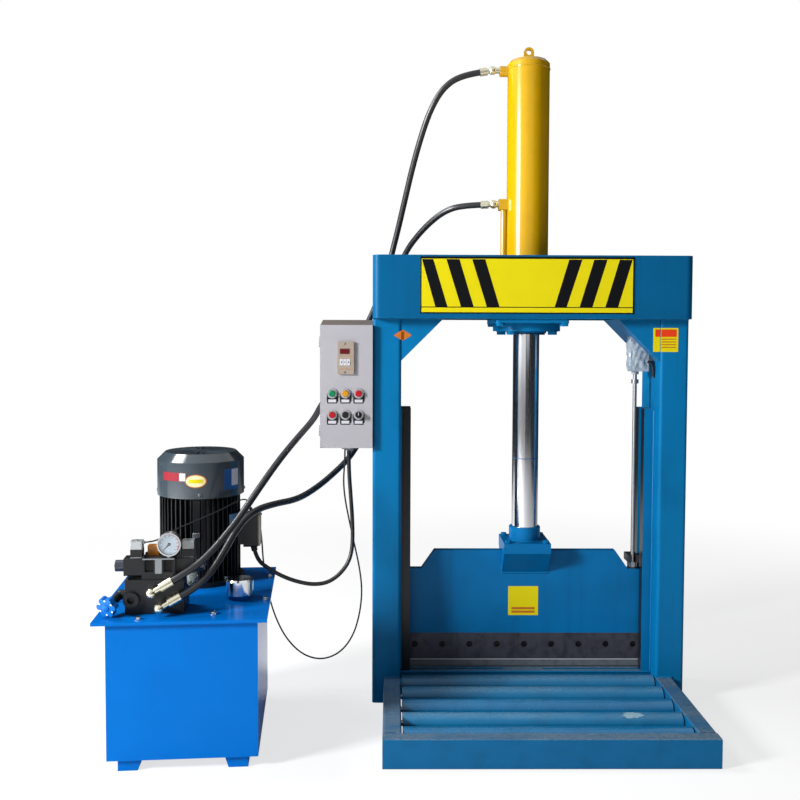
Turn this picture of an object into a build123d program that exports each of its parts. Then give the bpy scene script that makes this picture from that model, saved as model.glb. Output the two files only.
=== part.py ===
from build123d import *
from math import cos, pi, radians, sin, sqrt, tan
import os

os.makedirs("parts", exist_ok=True)

# A cutting press for rubber bales: an H-shaped frame with a hydraulic knife and a roller table, a control box on
# its left column, and a power unit standing beside it, joined by two hoses and two cables. Millimetres.
# Origin on the floor under the middle of the press, X to the right, Y away from the front, Z up.

# Frame
window_width = 770
column_width = 85
column_depth = 210
column_height = 1342
column_wall = 8
column_corner = 10
beam_height = 185
beam_projection = 40
beam_wall = 8
beam_corner = 22
gusset_leg = 125
gusset_wall = 8
gusset_inset = 5
board_width = 624
board_height = 165
board_centre = (-19, 1254)
board_thickness = 2
board_corner = 4

# Roller table and anvil
rail_height = 78
rail_width = 50
rail_wall = 4
rail_corner = 5
table_reach = 444
front_rail_depth = 45
anvil_depth = 160
anvil_front = -55
anvil_wall = 14
slot_width = 12
slot_setback = 8
slot_ends = ((-372, -66), (56, 372))
roller_count = 5
roller_diameter = 57
roller_pitch = 95.5
first_roller = -88
roller_wall = 3
roller_end_thickness = 18
roller_end_gap = 4
axle_diameter = 16
running_clearance = 0.05

# Cylinder
barrel_diameter = 127
bore_diameter = 110
barrel_top = 1940
dome_height = 11
head_thickness = 26
flange_diameter = 205
flange_thickness = 24
mount_plate_width = 215
mount_plate_depth = 270
mount_plate_corner = 6
mount_plate_thickness = 12
gland_length = 42
gland_lip = 6
gland_lip_diameter = 122
upper_port_drop = 32
lower_port_height = 1506
port_boss_diameter = 32
port_boss_reach = 24
port_block_size = 32
oil_tube_diameter = 19
oil_tube_weld = 0.5
eye_width = 30
eye_height = 40
eye_thickness = 12
eye_hole_diameter = 16

# Rod and knife
stroke = 520
rod_diameter = 80
rod_bottom = 477
collar_diameter = 96
collar_height = 42
piston_length = 55
piston_gap = 8
spigot_diameter = 50
nut_across = 78
nut_height = 30
bracket_width = 142
bracket_depth = 150
bracket_lip = 30
bracket_drop = 71
knife_thickness = 28
knife_side_gap = 10
knife_top = 444
knife_top_span = 560
knife_shoulder = 387
knife_shoulder_span = 640
knife_tongue_bottom = 122
blade_top = 186
blade_edge = 82
blade_thickness = 14
blade_bevel = 26
blade_screw_count = 9
blade_screw_pitch = 84.8
blade_screw_height = 150
blade_screw_head = 19
blade_screw_hole = 12
screw_head_depth = 7
guide_reach = 30
guide_depth = 35
guide_top = 886
guide_clearance = 0.4

# Limit switch and its trip rod
trip_setback = 45
trip_y = -28
trip_rod_diameter = 12
trip_travel = 6
trip_nut_diameter = 22
trip_nut_height = 15
trip_collar_height = 12
fork_bottom = 413
fork_height = 22
fork_slot = 17
fork_wall = 8
fork_post_width = 20
fork_post_shift = 4
fork_inset = 1
trip_rod_entry = 30
trip_collar_room = 2
switch_bottom = 1000
switch_left_reach = 19
switch_right_reach = 36
switch_depth = 44
switch_nose = 9
seat_gap = 0.3

# Control box
box_width = 155
box_bottom = 773
box_height = 364
box_depth = 110
box_roof_rise = 17
box_front = -106.5
box_wall = 2
gland_radius = 10
door_depth = 13.5
door_gap = 1
hinge_offset = 3
hinge_radius = 2.5
hinge_pin_radius = 1.5
hinge_length = 16
hinge_leaf = 1.5
hinge_leaf_length = 11
hinge_inset = 50
button_columns = (-589, -550, -511)
button_rows = (935, 872)
bezel_diameter = 29.5
bezel_depth = 4
button_diameter = 19
button_reach = 11
button_hole = 22.4
button_tail = 14
button_edge_radius = 1.5
selector_bar_width = 6
selector_proud = 2
contact_block = 28
contact_depth = 38
relay_centre = (-549, 1040)
relay_width = 48
relay_height = 96
relay_bezel = 8
relay_body_depth = 68
relay_inset = 2
lock_centre = (-484, 862)
lock_diameter = 12
lock_proud = 2
lock_tongue = (8, 15, 2)
lock_tongue_gap = 4
lock_slot = (2, 9, 1.5)
gear_plate = (130, 3, 320)
contactor = (45, 40, 74)
contactor_places = ((-28, 262), (28, 262))
terminal_row = (110, 30, 24)
terminal_row_height = 39

# Power unit, standing turned a little to the left
unit_centre = (-960, -317)
unit_turn = 4.5
foot_height = 30
foot_width = 60
foot_slant = 10
foot_inset = 26
foot_setback = 10
tank_width = 380
tank_depth = 470
tank_top = 380
tank_wall = 4
lid_left = 33
lid_right = 24
lid_front = 13
lid_back = 67
lid_thickness = 8
motor_u = 0
motor_v = 185
motor_flange_diameter = 250
motor_flange_thickness = 14
motor_core_diameter = 204
motor_rib_diameter = 238
motor_rib_count = 48
motor_rib_thickness = 3
motor_rib_gap = 4
motor_rib_root = 2
motor_body_height = 255
motor_strip_width = 20
motor_neck_width = 70
motor_neck_height = 80
motor_neck_root = 12
end_shield = 28
rotor_gap = 2
stator_bore = 150
cowl_diameter = 250
cowl_height = 124
cowl_slots = 24
cowl_slot_width = 5
cowl_slot_inner = 30
cowl_slot_outer = 92
cowl_overlap = 14
cowl_wall = 2
cowl_chamfer = 22
shaft_diameter = 28
fan_diameter = 200
fan_blades = 8
fan_height = 36
fan_clearance = 10
fan_hub_diameter = 52
fan_blade_root = 6
fan_blade_thickness = 3
shaft_seat = 60
coupling_seat = 20
rotor_end_gap = 8
pump_body = (86, 84, 110)
pump_top = 250
pump_shaft_diameter = 20
pump_shaft_seat = 40
bell_diameter = 88
bell_wall = 6
bell_floor = 12
coupling_diameter = 56
coupling_height = 55
suction_diameter = 34
strainer_diameter = 70
strainer_height = 60
strainer_clearance = 30
lid_pump_hole = 76
filler_u = 129
filler_v = -40
filler_neck_diameter = 56
filler_neck_height = 12
filler_cap_diameter = 76
filler_cap_height = 42
filler_neck_wall = 4
filler_spigot_gap = 1
filler_cap_chamfer = 5
terminal_reach = 126
terminal_v = 175
terminal_width = 48
terminal_depth = 80
terminal_bottom = 488
terminal_height = 94
terminal_cover = 6
terminal_cover_inset = 2
terminal_corner = 5
terminal_gland_length = 20
motor_gland_radius = 9
signal_gland_radius = 6
wire_gland_radius = 5

# Valve gear on the lid
manifold_left = -152
manifold_width = 152
manifold_front = -178
manifold_depth = 90
manifold_height = 88
manifold_chamfer = 1.5
manifold_plug_diameter = 40
manifold_plug_reach = 10
manifold_plug_root = 2
manifold_plug = (-135, 427)
valve_setback = 6
valve_left = -110
valve_width = 86
valve_depth = 62
valve_height = 55
valve_pocket_depth = 5
valve_pocket = (22, 31)
valve_pocket_spacing = 48
valve_pocket_drop = 4
coil_width = 47
coil_depth = 46
coil_height = 45
coil_lift = 8
coil_corner = 3
coil_cap_diameter = 30
coil_cap_length = 24
override_pin_diameter = 7
override_pin_length = 3
plug_width = 30
plug_height = 43
plug_corner = 2
left_plug_u = -126
right_plug_u = 6
wire_relief_radius = 4
wire_relief_length = 8
gauge_u = -40
gauge_height = 566
gauge_diameter = 60
gauge_depth = 26
gauge_recess = 7
gauge_rim = 3
gauge_stem_diameter = 14
gauge_stem_root = 3
needle_length = 21
needle_thickness = 1
needle_lift = 2
needle_half_width = 1.5
needle_hub_diameter = 8
needle_pin_diameter = 3
needle_pin_drop = 2.5
relief_elbow = (-168, -150, 432.5)
relief_direction = (-0.36, -0.9, -0.25)
relief_reach = 50
relief_diameter = 26
relief_nose_step = 2
star_knob_diameter = 54
star_knob_thickness = 18
star_knob_lobes = 6
star_knob_floor = 3
star_lobe_radius = 8
star_lobe_reach = 6
relief_stem_diameter = 10

# Hoses and cables, as routes from end to end
hose_diameter = 18.5
ferrule_diameter = 24
unit_crimp_length = 34
port_crimp_length = 22
unit_fitting_length = 60
port_fitting_length = 38
fitting_neck_diameter = 15
fitting_ball_diameter = 26
fitting_stub_diameter = 18
hose_a_route = (
    (-974, -514, 477), (-920, -500, 507), (-872, -468, 552), (-823, -415, 613), (-779, -345, 682),
    (-734, -250, 750), (-692, -145, 803), (-648, -45, 853), (-634, 45, 889), (-592, 112, 950),
    (-547, 142, 1028), (-517, 158, 1098), (-482, 168, 1166), (-453, 174, 1235), (-430, 172, 1305),
    (-412, 162, 1378), (-394, 145, 1448),
    (-374, 118, 1533), (-350, 85, 1634), (-326, 55, 1718), (-299, 30, 1795), (-262, 12, 1859),
    (-208, 2, 1896), (-148, 0, 1905),
)
hose_b_route = (
    (-953, -514, 437), (-913, -500, 458), (-877, -470, 495), (-851, -425, 543), (-825, -375, 594),
    (-790, -315, 624), (-743, -250, 630), (-688, -175, 629), (-642, -95, 647), (-592, -10, 680),
    (-538, 70, 728), (-492, 125, 812), (-461, 158, 939), (-440, 176, 1088), (-418, 180, 1222),
    (-395, 170, 1312), (-368, 150, 1378), (-334, 112, 1422), (-295, 76, 1461), (-252, 40, 1491),
    (-204, 12, 1505), (-142, 0, 1506),
)
motor_cable_diameter = 12
motor_cable_route = (
    (-543, -50, 759), (-543, -50, 701), (-537, -55, 623), (-531, -62, 545), (-530, -72, 468),
    (-541, -82, 423), (-567, -92, 389), (-602, -102, 366), (-643, -112, 362), (-688, -122, 372),
    (-735, -134, 392), (-776, -143, 419), (-807, -148, 444), (-815, -149, 474),
)
signal_cable_diameter = 5
signal_cable_route = (
    (-556, -20, 759), (-557, -20, 715), (-561, -20, 663), (-557, -20, 610), (-544, -18, 542),
    (-528, -14, 466), (-512, -10, 393), (-503, -6, 319), (-510, -2, 244), (-531, 2, 170),
    (-572, 6, 115), (-631, 10, 91), (-691, 14, 107), (-740, 17, 155), (-772, 20, 215), (-793, 22, 278),
    (-805, 24, 340), (-814, 24, 404), (-816, 14, 466), (-820, 2, 520), (-823, -18, 550), (-821, -45, 560),
    (-818, -78, 560),
)
valve_wire_diameter = 4
valve_wire_route = (
    (-826, -152, 600), (-828, -158, 619), (-841, -186, 634), (-865, -235, 627), (-905, -277, 610),
    (-947, -308, 595), (-986, -347, 583), (-1012, -390, 574), (-1023, -427, 568), (-1038, -454, 566),
    (-1055, -462, 566),
)

# Places that follow from the sizes above
column_inner = window_width / 2
column_outer = column_inner + column_width
column_front = -column_depth / 2
beam_bottom = column_height - beam_height
mount_plate_bottom = beam_bottom - mount_plate_thickness
flange_bottom = mount_plate_bottom - flange_thickness
table_front = column_front - table_reach
anvil_top = rail_height
roller_axis = rail_height - roller_diameter / 2
bore_top = barrel_top - head_thickness
piston_bottom = flange_bottom + gland_length + piston_gap
fork_top = fork_bottom + fork_height
knife_half = knife_thickness / 2
knife_span = window_width - 2 * knife_side_gap
trip_x = knife_span / 2 - trip_setback
upper_port_height = barrel_top - upper_port_drop


def finish(piece, name):
    piece.part.label = name
    export_step(piece.part, f"parts/{name}.step")


def finish_set(pieces, name):
    solids = [solid for piece in pieces for solid in piece.part.solids()]
    export_step(Compound(label=name, children=solids), f"parts/{name}.step")


def cord_end_plane(end, before):
    return Plane(origin=end, z_dir=Vector(*end) - Vector(*before))


# Columns: rectangular tube with rounded corners, standing on the floor
for side, name in ((-1, "left_column"), (1, "right_column")):
    with BuildPart() as column:
        with BuildSketch():
            with Locations((side * (column_inner + column_width / 2), 0)):
                RectangleRounded(column_width, column_depth, column_corner)
                RectangleRounded(
                    column_width - 2 * column_wall, column_depth - 2 * column_wall,
                    column_corner - column_wall, mode=Mode.SUBTRACT,
                )
        extrude(amount=column_height)
    finish(column, name)

# Top beam: a folded channel with rounded ends on the front of the columns, and its twin on the back
for side, name in ((-1, "front_top_channel"), (1, "rear_top_channel")):
    channel_middle = side * (column_depth + beam_projection) / 2
    with BuildPart() as channel:
        with BuildSketch(Plane.XY.offset(beam_bottom)):
            with Locations((0, channel_middle)):
                Rectangle(2 * column_outer, beam_projection)
            corners = vertices().group_by(Axis.Y)[0 if side < 0 else -1]
            fillet(corners, beam_corner)
        extrude(amount=beam_height)
        open_side = faces().sort_by(Axis.Y)[-1 if side < 0 else 0]
        offset(amount=-beam_wall, openings=open_side)
    finish(channel, name)

# Corner gussets: bent from plate, a sloped sole between two triangular cheeks
gusset_depth = column_depth - 2 * gusset_inset
with BuildPart() as gussets:
    with BuildSketch(Plane.XZ.offset(-gusset_depth / 2)):
        for side in (-1, 1):
            with BuildLine():
                Polyline(
                    (side * column_inner, beam_bottom), (side * (column_inner - gusset_leg), beam_bottom),
                    (side * column_inner, beam_bottom - gusset_leg), close=True,
                )
            make_face()
    extrude(amount=gusset_depth)
    with BuildSketch(Plane.XZ.offset(gusset_wall - gusset_depth / 2)):
        for side in (-1, 1):
            cavity_leg = gusset_leg - gusset_wall / sin(pi / 4)
            with BuildLine():
                Polyline(
                    (side * column_inner, beam_bottom), (side * (column_inner - cavity_leg), beam_bottom),
                    (side * column_inner, beam_bottom - cavity_leg), close=True,
                )
            make_face()
    extrude(amount=gusset_depth - 2 * gusset_wall, mode=Mode.SUBTRACT)
finish(gussets, "corner_gussets")

# Sign board on the front channel, a thin sheet with rounded corners
beam_front = column_front - beam_projection
with BuildPart() as sign_board:
    with BuildSketch(Plane.XZ.offset(-beam_front)):
        with Locations(board_centre):
            RectangleRounded(board_width, board_height, board_corner)
    extrude(amount=board_thickness)
finish(sign_board, "sign_board")

# Table frame: two side rails and a front rail of rectangular tube, welded at the corners
side_rail_length = table_reach - front_rail_depth
with BuildPart() as side_rails:
    with BuildSketch(Plane.XZ.offset(-column_front)):
        with Locations(*[(side * (column_inner + rail_width / 2), rail_height / 2) for side in (-1, 1)]):
            RectangleRounded(rail_width, rail_height, rail_corner)
            RectangleRounded(
                rail_width - 2 * rail_wall, rail_height - 2 * rail_wall,
                rail_corner - rail_wall, mode=Mode.SUBTRACT,
            )
    extrude(amount=side_rail_length)
with BuildPart() as front_rail:
    with BuildSketch(Plane.YZ.offset(-column_inner - rail_width)):
        with Locations((table_front + front_rail_depth / 2, rail_height / 2)):
            RectangleRounded(front_rail_depth, rail_height, rail_corner)
            RectangleRounded(
                front_rail_depth - 2 * rail_wall, rail_height - 2 * rail_wall,
                rail_corner - rail_wall, mode=Mode.SUBTRACT,
            )
    extrude(amount=2 * (column_inner + rail_width))
finish_set((side_rails, front_rail), "table_frame")

# Anvil: a box beam between the columns, with two clearing slots along its front edge
with BuildPart() as anvil:
    with BuildSketch(Plane.YZ.offset(-column_inner)):
        with Locations((anvil_front + anvil_depth / 2, anvil_top / 2)):
            Rectangle(anvil_depth, anvil_top)
            Rectangle(anvil_depth - 2 * anvil_wall, anvil_top - 2 * anvil_wall, mode=Mode.SUBTRACT)
    extrude(amount=window_width)
    with BuildSketch(Plane.XY.offset(anvil_top)):
        slot_y = anvil_front + anvil_wall + slot_setback + slot_width / 2
        for start, end in slot_ends:
            with Locations(((start + end) / 2, slot_y)):
                SlotOverall(end - start, slot_width)
    extrude(amount=-anvil_wall, mode=Mode.SUBTRACT)
finish(anvil, "anvil_beam")

# Table rollers: a tube with two bored ends, turning on a fixed axle
roller_rows = [first_roller - i * roller_pitch for i in range(roller_count)]
roller_half = column_inner - roller_end_gap
for number, row in enumerate(roller_rows, start=1):
    with BuildPart() as roller:
        with BuildSketch(Plane.YZ.offset(-roller_half)):
            with Locations((row, roller_axis)):
                Circle(roller_diameter / 2)
                Circle(axle_diameter / 2 + running_clearance, mode=Mode.SUBTRACT)
        extrude(amount=2 * roller_half)
        with BuildSketch(Plane.YZ.offset(roller_end_thickness - roller_half)):
            with Locations((row, roller_axis)):
                Circle(roller_diameter / 2 - roller_wall)
        extrude(amount=2 * (roller_half - roller_end_thickness), mode=Mode.SUBTRACT)
    finish(roller, f"roller_{number}")

with BuildPart() as roller_axles:
    with BuildSketch(Plane.YZ.offset(-column_inner)):
        with Locations(*[(row, roller_axis) for row in roller_rows]):
            Circle(axle_diameter / 2)
    extrude(amount=window_width)
finish(roller_axles, "roller_axles")

# Guide bars on both columns, in pairs with the knife's slot between them
guide_slot = knife_half + guide_clearance
with BuildPart() as guide_bars:
    with BuildSketch(Plane.XY.offset(anvil_top)):
        bar_places = [
            (side * (column_inner - guide_reach / 2), end * (guide_slot + guide_depth / 2))
            for side in (-1, 1) for end in (-1, 1)
        ]
        with Locations(*bar_places):
            Rectangle(guide_reach, guide_depth)
    extrude(amount=guide_top - anvil_top)
finish(guide_bars, "guide_bars")

# Cylinder: mount plate under the beam, barrel with a bolted flange, closed and domed at the top
barrel_radius = barrel_diameter / 2
bore_radius = bore_diameter / 2
with BuildPart() as mount_plate:
    with BuildSketch(Plane.XY.offset(mount_plate_bottom)):
        RectangleRounded(mount_plate_width, mount_plate_depth, mount_plate_corner)
        Circle(barrel_radius + running_clearance, mode=Mode.SUBTRACT)
    extrude(amount=mount_plate_thickness)
finish(mount_plate, "cylinder_mount_plate")

tube_x = -(barrel_radius + oil_tube_diameter / 2 - oil_tube_weld)
oil_tube_foot = beam_bottom + port_block_size
with BuildPart() as barrel:
    with BuildSketch(Plane.XZ):
        with BuildLine():
            Polyline(
                (bore_radius, flange_bottom), (flange_diameter / 2, flange_bottom),
                (flange_diameter / 2, mount_plate_bottom), (barrel_radius, mount_plate_bottom),
                (barrel_radius, barrel_top - dome_height), (barrel_radius - dome_height, barrel_top),
                (0, barrel_top), (0, bore_top), (bore_radius, bore_top), close=True,
            )
        make_face()
    revolve(axis=Axis.Z)
    with BuildSketch(Plane.YZ.offset(-barrel_radius - port_boss_reach)):
        with Locations((0, upper_port_height)):
            Circle(port_boss_diameter / 2)
    extrude(amount=port_boss_reach + (barrel_diameter - bore_diameter) / 4)
    with Locations((tube_x, 0, lower_port_height), (tube_x, 0, oil_tube_foot)):
        Box(port_block_size, port_block_size, port_block_size)
    with BuildSketch(Plane.XY.offset(oil_tube_foot)):
        with Locations((tube_x, 0)):
            Circle(oil_tube_diameter / 2)
    extrude(amount=lower_port_height - oil_tube_foot)
    bore_depth = bore_top - flange_bottom
    with Locations((0, 0, flange_bottom + bore_depth / 2)):
        Cylinder(bore_radius, bore_depth, mode=Mode.SUBTRACT)
finish(barrel, "cylinder_barrel")

with BuildPart() as lifting_eye:
    with BuildSketch(Plane.XZ.offset(-eye_thickness / 2)):
        eye_radius = eye_width / 2
        with BuildLine():
            Polyline(
                (eye_radius, barrel_top + eye_height - eye_radius), (eye_radius, barrel_top),
                (-eye_radius, barrel_top), (-eye_radius, barrel_top + eye_height - eye_radius),
            )
            ThreePointArc(
                (-eye_radius, barrel_top + eye_height - eye_radius), (0, barrel_top + eye_height),
                (eye_radius, barrel_top + eye_height - eye_radius),
            )
        make_face()
        with Locations((0, barrel_top + eye_height - eye_radius)):
            Circle(eye_hole_diameter / 2, mode=Mode.SUBTRACT)
    extrude(amount=eye_thickness)
finish(lifting_eye, "lifting_eye")

with BuildPart() as rod_gland:
    with BuildSketch(Plane.XY.offset(flange_bottom - gland_lip)):
        Circle(gland_lip_diameter / 2)
    extrude(amount=gland_lip)
    with BuildSketch(Plane.XY.offset(flange_bottom)):
        Circle(bore_radius)
    extrude(amount=gland_length)
    with BuildSketch(Plane.XY.offset(flange_bottom - gland_lip)):
        Circle(rod_diameter / 2 + running_clearance)
    extrude(amount=gland_lip + gland_length, mode=Mode.SUBTRACT)
finish(rod_gland, "rod_gland")

# Piston and rod: the piston sits on the rod's spigot and is held by a hexagon nut
piston_top = piston_bottom + piston_length
with BuildPart() as piston:
    with BuildSketch(Plane.XY.offset(piston_bottom)):
        Circle(bore_radius - running_clearance)
        Circle(spigot_diameter / 2, mode=Mode.SUBTRACT)
    extrude(amount=piston_length)
    with BuildSketch(Plane.XY.offset(piston_top)):
        RegularPolygon(nut_across / 2, 6)
        Circle(spigot_diameter / 2, mode=Mode.SUBTRACT)
    extrude(amount=nut_height)
finish(piston, "piston")

with BuildPart() as piston_rod:
    with BuildSketch(Plane.XY.offset(rod_bottom)):
        Circle(rod_diameter / 2)
    extrude(amount=piston_bottom - rod_bottom)
    with BuildSketch(Plane.XY.offset(piston_bottom)):
        Circle(spigot_diameter / 2)
    extrude(amount=piston_length + nut_height)
finish(piston_rod, "piston_rod")

with BuildPart() as rod_collar:
    with BuildSketch(Plane.XY.offset(rod_bottom)):
        Circle(collar_diameter / 2)
        Circle(rod_diameter / 2, mode=Mode.SUBTRACT)
    extrude(amount=collar_height)
    chamfer(edges().filter_by(GeomType.CIRCLE).sort_by(SortBy.RADIUS)[-2:], 2)
finish(rod_collar, "rod_collar")

# Knife: the bracket block carries the rod's thrust into the top edge of the holder plate
bracket_half = bracket_depth / 2
bracket_bottom = rod_bottom - bracket_lip - bracket_drop
with BuildPart() as knife_bracket:
    with BuildSketch(Plane.YZ.offset(-bracket_width / 2)):
        with BuildLine():
            Polyline(
                (-bracket_half, rod_bottom), (bracket_half, rod_bottom),
                (bracket_half, rod_bottom - bracket_lip), (knife_half, bracket_bottom),
                (knife_half, knife_top), (-knife_half, knife_top), (-knife_half, bracket_bottom),
                (-bracket_half, rod_bottom - bracket_lip), close=True,
            )
        make_face()
    extrude(amount=bracket_width)
finish(knife_bracket, "knife_bracket")

screw_row = [(i - (blade_screw_count - 1) / 2) * blade_screw_pitch for i in range(blade_screw_count)]
screw_places = [(x, blade_screw_height) for x in screw_row]
knife_front = -knife_half
blade_back = knife_front + blade_thickness
with BuildPart() as knife_holder:
    with BuildSketch(Plane.XZ.offset(-knife_half)):
        with BuildLine():
            Polyline(
                (-knife_top_span / 2, knife_top), (knife_top_span / 2, knife_top),
                (knife_shoulder_span / 2, knife_shoulder), (knife_span / 2, knife_shoulder),
                (knife_span / 2, knife_tongue_bottom), (-knife_span / 2, knife_tongue_bottom),
                (-knife_span / 2, knife_shoulder), (-knife_shoulder_span / 2, knife_shoulder), close=True,
            )
        make_face()
    extrude(amount=knife_thickness)
    with BuildSketch(Plane.XZ.offset(-blade_back)):
        with Locations((0, (blade_top + knife_tongue_bottom) / 2)):
            Rectangle(knife_span, blade_top - knife_tongue_bottom)
    extrude(amount=blade_thickness, mode=Mode.SUBTRACT)
    with BuildSketch(Plane.XZ.offset(-knife_half)):
        with Locations(*screw_places):
            Circle(blade_screw_hole / 2)
    extrude(amount=knife_thickness, mode=Mode.SUBTRACT)
finish(knife_holder, "knife_holder")

with BuildPart() as blade:
    with BuildSketch(Plane.YZ.offset(-knife_span / 2)):
        with BuildLine():
            Polyline(
                (knife_front, blade_edge), (knife_front, blade_top), (blade_back, blade_top),
                (blade_back, blade_edge + blade_bevel), close=True,
            )
        make_face()
    extrude(amount=knife_span)
    with BuildSketch(Plane.XZ.offset(-blade_back)):
        with Locations(*screw_places):
            Circle(blade_screw_hole / 2)
    extrude(amount=blade_thickness, mode=Mode.SUBTRACT)
    with BuildSketch(Plane.XZ.offset(-knife_front)):
        with Locations(*screw_places):
            Circle(blade_screw_head / 2)
    extrude(amount=-screw_head_depth, mode=Mode.SUBTRACT)
finish(blade, "blade")

# Trip rod: the fork on the knife's shoulder slides along it, and pulls on its nut or its collar at the ends
fork_front = trip_y - fork_slot / 2 - fork_wall
fork_back = knife_half - fork_inset
with BuildPart() as trip_fork:
    with BuildSketch(Plane.XY.offset(fork_bottom)):
        with Locations((trip_x, (fork_front + fork_back) / 2)):
            Rectangle(fork_slot + 2 * fork_wall, fork_back - fork_front)
        with Locations((trip_x, trip_y)):
            Circle(fork_slot / 2, mode=Mode.SUBTRACT)
        with Locations((trip_x, (fork_front + trip_y) / 2)):
            Rectangle(fork_slot, trip_y - fork_front, mode=Mode.SUBTRACT)
    extrude(amount=fork_height)
    with BuildSketch(Plane.XY.offset(knife_shoulder)):
        with Locations((trip_x + fork_post_shift, 0)):
            Rectangle(fork_post_width, 2 * fork_back)
    extrude(amount=fork_bottom - knife_shoulder)
finish(trip_fork, "trip_fork")

trip_nut_top = fork_bottom - seat_gap
trip_rod_bottom = trip_nut_top - trip_nut_height
trip_rod_top = switch_bottom - switch_nose + trip_rod_entry
trip_collar_bottom = fork_top + stroke + trip_travel + trip_collar_room
with BuildPart() as trip_rod:
    with BuildSketch(Plane.XY.offset(trip_rod_bottom)):
        with Locations((trip_x, trip_y)):
            Circle(trip_rod_diameter / 2)
    extrude(amount=trip_rod_top - trip_rod_bottom)
with BuildPart() as trip_nut:
    with BuildSketch(Plane.XY.offset(trip_rod_bottom)):
        with Locations((trip_x, trip_y)):
            RegularPolygon(trip_nut_diameter / 2, 6)
            Circle(trip_rod_diameter / 2, mode=Mode.SUBTRACT)
    extrude(amount=trip_nut_height)
with BuildPart() as trip_collar:
    with BuildSketch(Plane.XY.offset(trip_collar_bottom)):
        with Locations((trip_x, trip_y)):
            Circle(trip_nut_diameter / 2)
            Circle(trip_rod_diameter / 2, mode=Mode.SUBTRACT)
    extrude(amount=trip_collar_height)
finish_set((trip_rod, trip_nut, trip_collar), "trip_rod")

# Limit switch: its case seats on the slope of the right gusset, and guides the trip rod in its nose
switch_left = trip_x - switch_left_reach
switch_right = trip_x + switch_right_reach
slope_left = beam_bottom + column_inner - gusset_leg - switch_left
slope_right = beam_bottom + column_inner - gusset_leg - switch_right
with BuildPart() as limit_switch:
    with BuildSketch(Plane.XZ.offset(-trip_y - switch_depth / 2)):
        with BuildLine():
            Polyline(
                (switch_left, switch_bottom), (switch_right, switch_bottom), (switch_right, slope_right),
                (switch_left, slope_left), close=True,
            )
        make_face()
    extrude(amount=switch_depth)
    with BuildSketch(Plane.XY.offset(switch_bottom - switch_nose)):
        with Locations((trip_x, trip_y)):
            Circle(trip_nut_diameter / 2)
    extrude(amount=switch_nose)
    with BuildSketch(Plane.XY.offset(switch_bottom - switch_nose)):
        with Locations((trip_x, trip_y)):
            Circle(trip_rod_diameter / 2 + running_clearance)
    extrude(amount=trip_rod_entry + trip_travel, mode=Mode.SUBTRACT)
finish(limit_switch, "limit_switch")

# Control box on the left column: a folded body with a sloped roof, and a pan door hinged on its left edge
box_right = -column_outer
box_left = box_right - box_width
box_top = box_bottom + box_height
box_back = box_front + box_depth
door_front = box_front - door_gap - door_depth
box_middle = (box_left + box_right) / 2
hinge_axis = (box_left - hinge_offset, box_front - door_gap / 2)
hinge_heights = (box_bottom + hinge_inset, box_top - hinge_inset)
with BuildPart() as enclosure:
    with BuildSketch(Plane.YZ.offset(box_left)):
        with BuildLine():
            Polyline(
                (box_front, box_bottom), (box_back, box_bottom), (box_back, box_top + box_roof_rise),
                (box_front, box_top), close=True,
            )
        make_face()
    extrude(amount=box_width)
    offset(amount=-box_wall, openings=faces().sort_by(Axis.Y)[0])
    for route in (motor_cable_route, signal_cable_route):
        with BuildSketch(cord_end_plane(route[0], route[1])):
            Circle(gland_radius)
        extrude(amount=box_bottom + box_wall / 2 - route[0][2])
    for height in hinge_heights:
        with BuildSketch(Plane.XY.offset(height - hinge_length - seat_gap)):
            with Locations(hinge_axis):
                Circle(hinge_radius)
            with Locations((box_left - hinge_leaf / 2, hinge_axis[1] + hinge_leaf_length / 2)):
                Rectangle(hinge_leaf, hinge_leaf_length)
        extrude(amount=hinge_length)
        with BuildSketch(Plane.XY.offset(height - hinge_length)):
            with Locations(hinge_axis):
                Circle(hinge_pin_radius)
        extrude(amount=2 * hinge_length)
finish(enclosure, "control_enclosure")

button_places = [(x, z) for z in button_rows for x in button_columns]
door_centre = (box_middle, box_bottom + box_height / 2)
with BuildPart() as door:
    with BuildSketch(Plane.XZ.offset(-door_front)):
        with Locations(door_centre):
            Rectangle(box_width, box_height)
    extrude(amount=-door_depth)
    offset(amount=-box_wall, openings=faces().sort_by(Axis.Y)[-1])
    with BuildSketch(Plane.XZ.offset(-door_front)):
        with Locations(*button_places):
            Circle(button_hole / 2)
        with Locations(relay_centre):
            Rectangle(relay_width - 2 * relay_inset, relay_height - 2 * relay_inset)
        with Locations(lock_centre):
            Circle(lock_diameter / 2 + running_clearance)
    extrude(amount=-box_wall, mode=Mode.SUBTRACT)
    for height in hinge_heights:
        with BuildSketch(Plane.XY.offset(height)):
            with Locations(hinge_axis):
                Circle(hinge_radius)
            with Locations((box_left - hinge_leaf / 2, hinge_axis[1] - hinge_leaf_length / 2)):
                Rectangle(hinge_leaf, hinge_leaf_length)
            with Locations(hinge_axis):
                Circle(hinge_pin_radius + running_clearance, mode=Mode.SUBTRACT)
        extrude(amount=hinge_length)
finish(door, "control_door")

with BuildPart() as timer_relay:
    with BuildSketch(Plane.XZ.offset(-door_front)):
        with Locations(relay_centre):
            RectangleRounded(relay_width, relay_height, 2)
    extrude(amount=relay_bezel)
    with BuildSketch(Plane.XZ.offset(-door_front)):
        with Locations(relay_centre):
            Rectangle(relay_width - 2 * relay_inset, relay_height - 2 * relay_inset)
    extrude(amount=-relay_body_depth)
finish(timer_relay, "timer_relay")

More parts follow.
